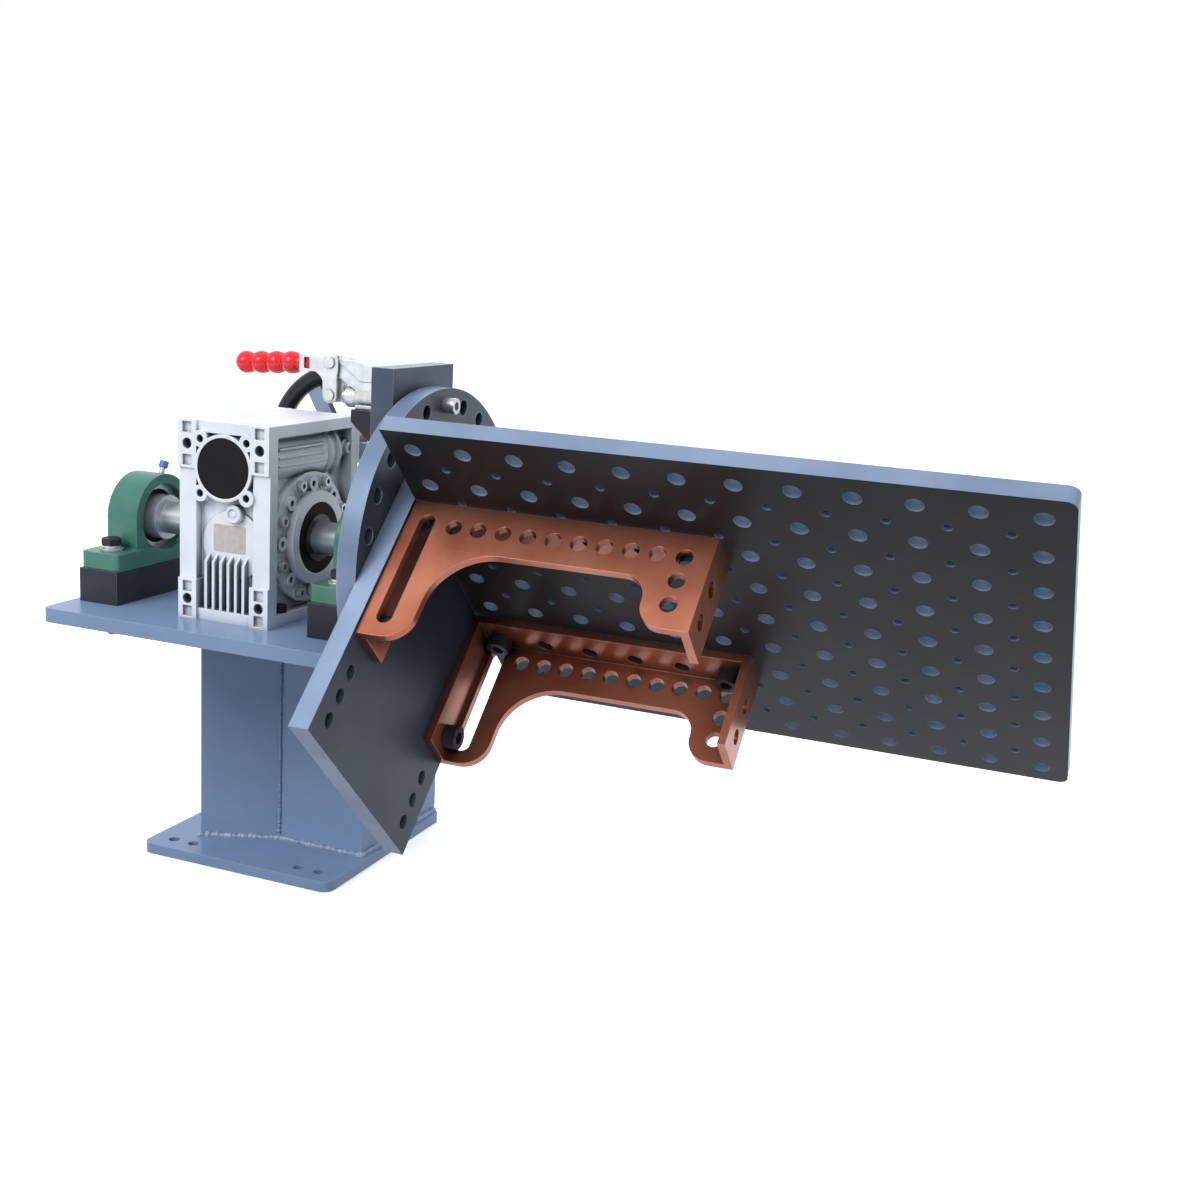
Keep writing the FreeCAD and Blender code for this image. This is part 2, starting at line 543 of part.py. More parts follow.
# Side covers with the hub boss, the cover screws, and everything that turns inside
def make_gear_inside():
    covers = []
    screws = []
    seals = []
    bearings = []
    for side, out in (("left", "-"), ("right", "+")):
        def span(start, end):
            """Where a piece from start to end, measured out from the middle, begins along X."""
            return f"(gear_x + {start})" if out == "+" else f"(gear_x - {end})"
        centre = (axis_y, axis_z)
        inner = "(gear_wide / 2 - side_recess)"
        solids = [rod("CoverPlate" + side, "cover_r", "cover_t", (span(inner, f"({inner} + cover_t)"),) + centre, "x"),
                  rod("HubBoss" + side, "hub_boss_r", f"hub_boss_end - {inner}", (span(inner, "hub_boss_end"),) + centre, "x")]
        bored = "(gear_bearing_in + gear_bearing_x)"
        tools = [rod("BearingSeat" + side, "gear_bearing_r", f"{bored} - {inner}", (span(inner, bored),) + centre, "x"),
                 rod("SealSeat" + side, "oil_seal_r", f"hub_boss_end - {inner}", (span(inner, "hub_boss_end"),) + centre, "x")]
        for step in range(8):
            turn = 45 * step + 22.5
            y = f"({axis_y} + cover_screw_ring * cos({turn}))"
            z = f"({axis_z} + cover_screw_ring * sin({turn}))"
            solids.append(rod("CoverLobe" + side, "lobe_r", "cover_t + 1", (span(inner, f"({inner} + cover_t + 1)"), y, z), "x"))
            head_end = f"({inner} + cover_t + 1 + cover_head_h)"
            head = rod("CoverHead" + side, "cover_head_r", "cover_head_h", (span(f"({inner} + cover_t + 1)", head_end), y, z), "x")
            socket = hexagon("CoverSocket" + side, "cover_head_r", "cover_head_h / 2",
                             (span(f"({head_end} - cover_head_h / 2)", head_end), y, z), "x")
            screws.append(cut("CoverScrew" + side, head, [socket]))
            turn = 45 * step
            y = f"({axis_y} + cover_tap_ring * cos({turn}))"
            z = f"({axis_z} + cover_tap_ring * sin({turn}))"
            high = f"({inner} + cover_t + tap_boss_h)"
            solids.append(rod("TapBoss" + side, "tap_boss_r", "cover_t + tap_boss_h", (span(inner, high), y, z), "x"))
            tools.append(rod("TapHole" + side, "cover_tap_r", "tap_boss_h + cover_t", (span(inner, high), y, z), "x"))
        covers.append(cut("Cover" + side, fuse("CoverBlank" + side, solids), tools))
        seals.append(ring("OilSeal" + side, "oil_seal_r", "hollow_r + seal_gap", "oil_seal_x",
                          (span("(hub_boss_end - oil_seal_x)", "hub_boss_end"),) + centre))
        bearings.append(ring("WheelBearing" + side, "gear_bearing_r", "hollow_r + fit_clear", "gear_bearing_x",
                             (span("gear_bearing_in", bored),) + centre))
        publish(covers[-1], f"gear_cover_{side}")
    publish(group("CoverScrews", screws), "gear_cover_screws")
    publish(group("OilSeals", seals), "gear_oil_seals")
    publish(group("WheelBearings", bearings), "wheel_bearings")

    cap = rod("InputCap", "cap_plate_r", "cap_plate_t", ("gear_x", gear_front, worm_z), "y")
    publish(cap, "input_cap")
    plug = fuse("OilPlug", [rod("PlugStem", "plug_r", "front_recess - 4", ("gear_x + plug_right", f"{gear_front} + 4", f"{axis_z} + plug_up"), "y"),
                            rod("PlugHead", "plug_r + 1", "3", ("gear_x + plug_right", f"{gear_front} + 1", f"{axis_z} + plug_up"), "y")])
    publish(plug, "oil_plug")
    foot_screws = []
    for x, y in foot_screw_spots():
        head = rod("GearFootHead", "foot_head_r", "foot_head_h", (x, y, f"{deck} + slab_t"))
        shank = rod("GearFootShank", "foot_screw_r", "slab_t + table_t", (x, y, table_low))
        foot_screws.append(fuse("GearFootScrew", [head, shank]))
    publish(group("GearFootScrews", foot_screws), "gear_foot_screws")

    # Hollow shaft with the wheel's hub, keyed to the spindle
    centre = (axis_y, axis_z)
    tube = rod("HollowShaft", "hollow_r", "2 * hollow_half", ("gear_x - hollow_half",) + centre, "x")
    disc = rod("WheelDisc", "wheel_hub_r", "wheel_x", ("gear_x - wheel_x / 2",) + centre, "x")
    bore = rod("HollowBore", "shaft_r", "2 * hollow_half", ("gear_x - hollow_half",) + centre, "x")
    key_low = f"({axis_z} + shaft_r - key_high / 2)"
    key_size = ("key_long", "key_wide", "key_high")
    key_at = ("gear_x - key_long / 2", f"{axis_y} - key_wide / 2", key_low)
    hub = cut("WheelHub", fuse("WheelHubBlank", [tube, disc]), [bore, box("HubKeyway", key_size, key_at)])
    publish(hub, "worm_wheel_hub")
    publish(box("WheelKey", key_size, key_at), "wheel_key")
    shaft = rod("SpindleShaft", "shaft_r", f"{disc_front} + shaft_left", ("-shaft_left",) + centre, "x")
    publish(cut("KeyedSpindle", shaft, [box("ShaftKeyway", key_size, key_at)]), "spindle_shaft")

    # Bronze rim: gashes that lean with the lead of the worm's thread
    rim = body("WheelRim")
    pitch_r = "(gear_module * gear_teeth / 2)"
    blank = sketch(rim, "YZ_Plane", "-wheel_x / 2")
    circle(blank, "0", "0", f"{pitch_r} + gear_module")
    circle(blank, "0", "0", "wheel_hub_r")
    pad(rim, blank, "wheel_x")
    gash = sketch(rim, "YZ_Plane", "-wheel_x / 2")
    root = f"({pitch_r} - gear_module - tip_clear)"
    lip = f"({pitch_r} + 2 * gear_module)"
    lead = f"(gear_module / 2 / (gear_centres - {pitch_r}))"
    shift = f"(wheel_x / 2 * {lead})"

    def half_gap(radius):
        return f"(gear_module * pi / 4 + ({radius} - {pitch_r}) * tan(pressure_angle) + flank_clear)"
    outline(gash, [(f"{shift} - {half_gap(root)}", root), (f"{shift} + {half_gap(root)}", root),
                   (f"{shift} + {half_gap(lip)}", lip), (f"{shift} - {half_gap(lip)}", lip)])
    first = pocket(rim, gash)
    first.UseCustomVector = True
    first.Direction = Vector(1, -value(lead), 0)
    first.setExpression("Direction.y", bound(f"-{lead}"))
    around = rim.newObject("PartDesign::PolarPattern", "Gashes")
    around.Originals = [first]
    around.Axis = (next(f for f in rim.Origin.OriginFeatures if f.Role == "X_Axis"), [""])
    around.Angle = 360
    around.setExpression("Occurrences", bound("gear_teeth"))
    rim.Tip = around
    place(rim, ("gear_x", axis_y, axis_z))
    publish(rim, "worm_wheel_rim")

    # Worm shaft: the core with its bearing ends and the long end for the handwheel, and one helical thread
    worm = body("WormShaft")
    profile = sketch(worm, "YZ_Plane")
    worm_r = f"(gear_centres - {pitch_r})"
    core = f"({worm_r} - gear_module - tip_clear)"
    tip = f"({worm_r} + gear_module)"
    worm_end = "(rim_at + hand_hub_y / 2 + hand_washer_t + nut_h)"
    thread_pitch = "(gear_module * pi)"
    outline(profile, [("-worm_nose", "0"), ("-worm_nose", "worm_shaft_r"), ("-worm_half", "worm_shaft_r"),
                      ("-worm_half", core), ("worm_half", core), ("worm_half", "worm_shaft_r"),
                      (worm_end, "worm_shaft_r"), (worm_end, "0")])
    revolve(worm, profile, "H_Axis")

    def half_thread(radius):
        return f"(gear_module * pi / 4 - ({radius} - {worm_r}) * tan(pressure_angle) - flank_clear)"
    place(worm, ("gear_x", axis_y, worm_z))
    path = doc.addObject("Part::Helix", "ThreadPath")
    path.setExpression("Pitch", bound(thread_pitch))
    path.setExpression("Height", bound(f"worm_turns * {thread_pitch}"))
    path.setExpression("Radius", bound(worm_r))
    section = doc.addObject("Sketcher::SketchObject", "ThreadSection")
    section.Placement = Placement(Vector(0, 0, 0), Rotation(Vector(1, 0, 0), 90))
    deep = f"({core} - flank_clear)"
    outline(section, [(deep, f"-{half_thread(deep)}"), (tip, f"-{half_thread(tip)}"),
                      (tip, half_thread(tip)), (deep, half_thread(deep))])
    thread = doc.addObject("Part::Sweep", "WormThread")
    thread.Sections = [section]
    thread.Spine = (path, [])
    thread.Solid = True
    thread.Frenet = True
    place(thread, ("gear_x", f"{axis_y} - worm_turns / 2 * {thread_pitch}", worm_z), Vector(-1, -1, -1), 120)
    threaded = fuse("ThreadedWorm", [worm, thread])
    key_box = ("hand_key", "hand_key_long", "hand_key")
    key_spot = ("gear_x - hand_key / 2", f"{axis_y} + rim_at - hand_key_long / 2", f"{worm_z} + worm_shaft_r - hand_key / 2")
    publish(cut("KeyedWorm", threaded, [box("WormKeyway", key_box, key_spot)]), "worm_shaft")
    publish(box("HandwheelKey", key_box, key_spot), "handwheel_key")
    rings = [ring("WormBearing", "worm_bearing_r", "worm_shaft_r + fit_clear", "worm_bearing_y", ("gear_x", y, worm_z), "y")
             for y in (f"({axis_y} - worm_span - worm_bearing_y)", f"({axis_y} + worm_span)")]
    publish(group("WormBearings", rings), "worm_bearings")
    publish(ring("WormSeal", "worm_bearing_r", "worm_shaft_r + worm_seal_gap", "worm_seal_y",
                 ("gear_x", f"{axis_y} + gear_deep / 2 - worm_seal_y", worm_z), "y"), "worm_seal")

    # Handwheel: round rim, flat spokes, a hub on the worm's long end, held by a washer and a nut
    centre_y = f"({axis_y} + rim_at)"
    rim_ring = doc.addObject("Part::Torus", "HandRim")
    rim_ring.setExpression("Radius1", bound("rim_r"))
    rim_ring.setExpression("Radius2", bound("rim_tube_r"))
    place(rim_ring, ("gear_x", centre_y, worm_z), Vector(1, 0, 0), 90)
    hub_low = f"({centre_y} - hand_hub_y / 2)"
    solids = [rim_ring, rod("HandHub", "hand_hub_r", "hand_hub_y", ("gear_x", hub_low, worm_z), "y")]
    for step in range(sizes["spoke_count"]):
        spoke = doc.addObject("Part::Box", f"Spoke{step}")
        spoke.setExpression("Length", bound("rim_r"))
        spoke.setExpression("Width", bound("spoke_t"))
        spoke.setExpression("Height", bound("spoke_wide"))
        turn = 360 / sizes["spoke_count"] * step + sizes["spoke_turn"]
        swing = Rotation(Vector(0, -1, 0), turn)
        drop = swing.multVec(Vector(0, 0, -sizes["spoke_wide"] / 2))
        spoke.Placement = Placement(Vector(value("gear_x") + drop.x, value(centre_y) - sizes["spoke_t"] / 2, value(worm_z) + drop.z), swing)
        spoke.setExpression("Placement.Base.x", bound(f"gear_x + spoke_wide / 2 * sin({turn})"))
        spoke.setExpression("Placement.Base.y", bound(f"{centre_y} - spoke_t / 2"))
        spoke.setExpression("Placement.Base.z", bound(f"{worm_z} - spoke_wide / 2 * cos({turn})"))
        solids.append(spoke)
    tools = [rod("HandBore", "worm_shaft_r", "hand_hub_y", ("gear_x", hub_low, worm_z), "y"), box("HubKeySeat", key_box, key_spot)]
    publish(cut("Handwheel", fuse("HandwheelBlank", solids), tools), "handwheel")
    out = f"({centre_y} + hand_hub_y / 2)"
    publish(ring("HandWasher", "hand_washer_r", "worm_shaft_r", "hand_washer_t", ("gear_x", out, worm_z), "y"), "handwheel_washer")
    nut = hexagon("HandNut", "nut_across", "nut_h", ("gear_x", f"{out} + hand_washer_t", worm_z), "y")
    publish(cut("HandNutBored", nut, [rod("NutBore", "worm_shaft_r", "nut_h", ("gear_x", f"{out} + hand_washer_t", worm_z), "y")]), "handwheel_nut")


# Index disc and the L-shaped fixture on its front
disc_screw_spots = [(f"{side}disc_screw_half", f"(disc_screw_top - {step} * disc_screw_pitch)")
                    for side in ("", "-") for step in range(3)]
plate_screw_rows = [f"(plate_shift + {step} * plate_screw_pitch)" for step in (-1.5, -0.5, 0.5, 1.5)]
plate_middle = "(-plate_face + plate_t / 2)"
end_bolt = "(-end_low + end_bolt_up)"


def make_disc():
    disc = body("IndexDisc")
    blank = sketch(disc, "YZ_Plane", "disc_x")
    circle(blank, "0", "0", "disc_r")
    circle(blank, "0", "0", "shaft_r")
    pad(disc, blank, "disc_t")
    heads = sketch(disc, "YZ_Plane", "disc_x")
    for y, z in disc_screw_spots:
        circle(heads, y, z, "disc_head_r")
    pocket(disc, heads, "disc_head_deep", back=True)
    shanks = sketch(disc, "YZ_Plane", "disc_x")
    for y, z in disc_screw_spots:
        circle(shanks, y, z, "disc_screw_r")
    pocket(disc, shanks)
    hole = sketch(disc, "YZ_Plane", "disc_x")
    circle(hole, "0", "index_ring", "index_hole_r")
    first = pocket(disc, hole)
    around = disc.newObject("PartDesign::PolarPattern", "IndexHoles")
    around.Originals = [first]
    around.Axis = (next(f for f in disc.Origin.OriginFeatures if f.Role == "X_Axis"), [""])
    around.Angle = 360
    around.setExpression("Occurrences", bound("index_count"))
    disc.Tip = around
    on_fixture(disc, "index_disc")

    screws = []
    for y, z in disc_screw_spots:
        head = rod("DiscHead", "disc_head_r", "disc_head_deep - 1", ("disc_x + 1", y, z), "x")
        shank = rod("DiscShank", "disc_screw_r", "disc_t - disc_head_deep + disc_screw_in", ("disc_x + disc_head_deep", y, z), "x")
        screws.append(fuse("DiscScrew", [head, shank]))
    on_fixture(group("DiscScrews", screws), "disc_screws")

    pin = rod("StopPin", "index_hole_r - fit_clear", "stop_pin_in + stop_pin_out", (f"{disc_front} - stop_pin_in", axis_y, pin_z), "x")
    socket = hexagon("StopSocket", "2 * socket_r", "socket_deep", (f"{disc_front} + stop_pin_out - socket_deep", axis_y, pin_z), "x")
    publish(cut("StopPinCut", pin, [socket]), "stop_pin")


def make_end_plate():
    plate = body("EndPlate")
    blank = sketch(plate, "YZ_Plane", disc_front)
    rectangle(blank, "plate_shift - end_half", "plate_shift + end_half", "-end_low", "end_high")
    pad(plate, blank, "end_t")
    holes = sketch(plate, "YZ_Plane", disc_front)
    for side in "-+":
        y = f"plate_shift {side} end_hole_half"
        for step in range(3):
            circle(holes, y, f"-end_low + end_hole_first + {step} * end_hole_pitch", "end_hole_r")
        circle(holes, y, end_bolt, "fix_bolt_r")
    for y in plate_screw_rows:
        circle(holes, y, plate_middle, "plate_screw_r")
    pocket(plate, holes)
    heads = sketch(plate, "YZ_Plane", disc_front)
    for y in plate_screw_rows:
        circle(heads, y, plate_middle, "plate_head_r")
    pocket(plate, heads, "plate_head_h", back=True)
    taps = sketch(plate, "YZ_Plane", disc_front)
    for y, z in disc_screw_spots:
        circle(taps, y, z, "disc_screw_r")
    pocket(plate, taps, "disc_screw_in", back=True)
    on_fixture(plate, "end_plate")

    screws = []
    for y in plate_screw_rows:
        head = rod("PlateHead", "plate_head_r", "plate_head_h", (disc_front, y, plate_middle), "x")
        shank = rod("PlateShank", "plate_screw_r", "end_t - plate_head_h + plate_screw_in", (f"{disc_front} + plate_head_h", y, plate_middle), "x")
        screws.append(fuse("PlateScrew", [head, shank]))
    on_fixture(group("PlateScrews", screws), "plate_screws")


def make_long_plate():
    plate = body("LongPlate")
    blank = sketch(plate, "XY_Plane", "-plate_face")
    far = f"({fixture_x} + plate_long)"
    rectangle(blank, fixture_x, far, "plate_shift - plate_half", "plate_shift + plate_half")
    slab = pad(plate, blank, "plate_t")
    round_upright(plate, slab, "plate_corner_r", lambda edge: edge.BoundBox.XMin > value(far) - 1)
    hole = sketch(plate, "XY_Plane", "-plate_face")
    circle(hole, f"{fixture_x} + grid_edge", "plate_shift - plate_half + grid_edge", "grid_hole_r")
    first = pocket(plate, hole)
    grid = plate.newObject("PartDesign::MultiTransform", "Grid")
    grid.Originals = [first]
    runs = []
    for role, count in (("X_Axis", "grid_long"), ("Y_Axis", "grid_wide")):
        run = plate.newObject("PartDesign::LinearPattern", "Run" + role[0])
        run.Direction = (next(f for f in plate.Origin.OriginFeatures if f.Role == role), [""])
        run.setExpression("Length", bound(f"grid_pitch * ({count} - 1)"))
        run.setExpression("Occurrences", bound(count))
        runs.append(run)
    grid.Transformations = runs
    plate.Tip = grid
    doc.recompute()
    small = sketch(plate, "XY_Plane", "-plate_face")
    circle(small, f"{fixture_x} + grid_edge + grid_pitch / 2",
           "plate_shift - plate_half + grid_edge + grid_pitch / 2", "grid_tap_r")
    first = pocket(plate, small)
    tapped = plate.newObject("PartDesign::MultiTransform", "TappedGrid")
    tapped.Originals = [first]
    runs = []
    for role, count in (("X_Axis", "grid_long"), ("Y_Axis", "grid_wide")):
        run = plate.newObject("PartDesign::LinearPattern", "TapRun" + role[0])
        run.Direction = (next(f for f in plate.Origin.OriginFeatures if f.Role == role), [""])
        run.setExpression("Length", bound(f"grid_pitch * ({count} - 2)"))
        run.setExpression("Occurrences", bound(f"{count} - 1"))
        runs.append(run)
    tapped.Transformations = runs
    plate.Tip = tapped
    doc.recompute()
    taps = sketch(plate, "YZ_Plane", fixture_x)
    for y in plate_screw_rows:
        circle(taps, y, plate_middle, "plate_screw_r")
    pocket(plate, taps, "plate_screw_in", back=True)
    on_fixture(plate, "long_plate")


hole_row_gap = "((square_long - square_hole_first - square_strip / 2) / (square_hole_count - 1))"


def last_grid_step():
    """The last hole of the 50 mm grid that a bolt head still reaches inside a square's foot."""
    room = value("square_long") - value("grid_edge") - value("fix_head_r") - value("square_t")
    return int(room // value("grid_pitch"))


def make_square(name, side):
    """A clamping square: a cut-out web with a flange along the plate, one on the end plate, one at its end."""
    square = body("Square" + name)
    outer = f"(plate_shift {side} square_half)"
    inward = "+" if side == "-" else "-"
    edge = f"({outer} {inward} square_flange)"
    low = "(-plate_face)"
    far = f"({fixture_x} + square_long)"
    web = sketch(square, "XZ_Plane", f"-{outer}")
    strip = f"({low} - square_strip)"
    outline(web, [(fixture_x, low), (far, low), (far, f"{low} - square_far"), (f"{far} - square_strip", f"{low} - square_far"),
                  (f"{far} - square_strip", strip), (f"{fixture_x} + square_strip", strip),
                  (f"{fixture_x} + square_strip", f"{low} - square_leg"), (fixture_x, f"{low} - square_leg")])
    pad(square, web, "square_t", back=(side == "-"))
    foot = sketch(square, "XY_Plane", low)
    rectangle(foot, fixture_x, far, *sorted((outer, edge), key=value))
    pad(square, foot, "square_t", back=True)
    ends = ((fixture_x, "square_leg"), (f"{far} - square_t", "square_far"))
    for x, high in ends:
        end = sketch(square, "YZ_Plane", x)
        rectangle(end, *sorted((outer, edge), key=value), f"{low} - {high}", low)
        pad(square, end, "square_t")
    holes = sketch(square, "XZ_Plane", f"-{outer}")
    for step in range(sizes["square_hole_count"]):
        circle(holes, f"{fixture_x} + square_hole_first + {step} * {hole_row_gap}",
               f"{low} - square_strip / 2", "grid_hole_r")
    for step in (1, 2):
        circle(holes, f"{far} - square_strip / 2",
               f"{low} - square_strip / 2 - {step} * square_hole_pitch", "grid_hole_r")
    pocket(square, holes, "square_t", back=(side == "+"))
    # Long slot up the tall leg, square first and then its two round ends
    slot_x = f"({fixture_x} + slot_from_end)"
    slot = sketch(square, "XZ_Plane", f"-{outer}")
    rectangle(slot, f"{slot_x} - slot_half", f"{slot_x} + slot_half", f"{low} - slot_high", f"{low} - slot_low")
    pocket(square, slot, "square_t", back=(side == "+"))
    for end in ("slot_low", "slot_high"):
        tip = sketch(square, "XZ_Plane", f"-{outer}")
        circle(tip, slot_x, f"{low} - {end}", "slot_half")
        pocket(square, tip, "square_t", back=(side == "+"))
    middle = f"(plate_shift {side} end_hole_half)"
    grid = sketch(square, "XY_Plane", low)
    for step in range(last_grid_step() + 1):
        circle(grid, f"{fixture_x} + grid_edge + {step} * grid_pitch", middle, "grid_hole_r")
    pocket(square, grid, "square_t")
    for x, drops in ((fixture_x, (end_bolt,)), (f"{far} - square_t", [f"{low} - {k} * square_hole_pitch" for k in (1.6, 3)])):
        end = sketch(square, "YZ_Plane", x)
        for drop in drops:
            circle(end, middle, drop, "grid_hole_r")
        pocket(square, end, "square_t", back=True)
    # Round the corners of the web and of the cut-out
    doc.recompute()
    feature = square.Tip
    names = []
    wanted = [(f"{fixture_x} + square_strip", strip), (f"{far} - square_strip", strip),
              (f"{fixture_x} + square_strip", f"{low} - square_leg"), (f"{far} - square_strip", f"{low} - square_far")]
    for number, edge in enumerate(feature.Shape.Edges, start=1):
        run = edge.Vertexes[-1].Point - edge.Vertexes[0].Point
        if abs(abs(run.y) - value("square_t")) < 1e-6 and abs(run.x) + abs(run.z) < 1e-6:
            spot = edge.Vertexes[0].Point
            if any(abs(spot.x - value(x)) + abs(spot.z - value(z)) < 1e-3 for x, z in wanted):
                names.append(f"Edge{number}")
    rounding = square.newObject("PartDesign::Fillet", "SquareFillet" + name)
    rounding.Base = (feature, names)
    rounding.setExpression("Radius", bound("square_inner_r"))
    square.Tip = rounding
    on_fixture(square, "clamping_square_" + name)


def make_fixture_bolts():
    """Socket head bolts: two through each square's foot into the plate, one into the end plate."""
    bolts = []
    nuts = []
    low = "(-plate_face)"
    for side in "-+":
        y = f"(plate_shift {side} end_hole_half)"
        for step in (0, last_grid_step()):
            x = f"({fixture_x} + grid_edge + {step} * grid_pitch)"
            top = f"({low} - square_t - fix_head_h)"
            head = rod("FixHead", "fix_head_r", "fix_head_h", (x, y, top))
            shank = rod("FixShank", "fix_bolt_r", "square_t + plate_t + fix_nut_h", (x, y, f"{low} - square_t"))
            socket = hexagon("FixSocket", "2 * fix_socket_r", "fix_socket_deep", (x, y, top))
            bolts.append(cut("FixBolt", fuse("FixBlank", [head, shank]), [socket]))
            back = f"({low} + plate_t)"
            nut = hexagon("FixNut", "fix_nut_across", "fix_nut_h", (x, y, back))
            nuts.append(cut("FixNutBored", nut, [rod("FixNutBore", "fix_bolt_r", "fix_nut_h", (x, y, back))]))
        head = rod("EndHead", "fix_head_r", "fix_head_h", (f"{fixture_x} + square_t", y, end_bolt), "x")
        shank = rod("EndShank", "fix_bolt_r", "square_t + end_t", (disc_front, y, end_bolt), "x")
        socket = hexagon("EndSocket", "2 * fix_socket_r", "fix_socket_deep",
                         (f"{fixture_x} + square_t + fix_head_h - fix_socket_deep", y, end_bolt), "x")
        bolts.append(cut("EndBolt", fuse("EndBlank", [head, shank]), [socket]))
    on_fixture(group("FixtureBolts", bolts), "fixture_bolts")
    on_fixture(group("FixtureNuts", nuts), "fixture_nuts")


def make_index_block():
    block = body("IndexBlock")
    blank = sketch(block, "XY_Plane", deck)
    rectangle(blank, "block_x", "block_x + block_t", f"{axis_y} - block_y / 2", f"{axis_y} + block_y / 2")
    pad(block, blank, f"{pin_z} + block_above_pin - {deck}")
    bores = sketch(block, "YZ_Plane", "block_x")
    circle(bores, axis_y, axis_z, "block_shaft_r")
    circle(bores, axis_y, pin_z, "plunger_r + fit_clear")
    pocket(block, bores)
    taps = sketch(block, "XY_Plane", deck)
    for y in block_screw_rows:
        circle(taps, block_middle, y, "block_screw_r")
    pocket(block, taps, "block_screw_in", back=True)
    publish(block, "index_block")
    screws = []
    for y in block_screw_rows:
        head = rod("BlockHead", "block_head_r", "block_head_h", (block_middle, y, f"{table_low} - block_head_h"))
        shank = rod("BlockShank", "block_screw_r", "table_t + block_screw_in", (block_middle, y, table_low))
        screws.append(fuse("BlockScrew", [head, shank]))
    publish(group("BlockScrews", screws), "index_block_screws")

    shelf = body("ClampShelf")
    side = sketch(shelf, "XZ_Plane", f"-({axis_y})")
    top = f"({pin_z} - guide_r)"
    outline(side, [("block_x", top), ("block_x - shelf_x", top), ("block_x - shelf_x", f"{top} - shelf_t"),
                   ("block_x - shelf_t", f"{top} - shelf_t - shelf_drop"), ("block_x", f"{top} - shelf_t - shelf_drop")])
    pad(shelf, side, "shelf_y", both=True)
    publish(shelf, "clamp_shelf")


# Locking clamp: a plunger in a guide, pushed by a lever that pivots between two cheeks
def plate_in_xz(name, points, y_low, thick):
    """A flat plate standing in the XZ plane, from y_low towards the back."""
    plate = body(name)
    drawing = sketch(plate, "XZ_Plane", f"-({y_low})")
    outline(drawing, points)
    pad(plate, drawing, thick, back=True)
    return plate


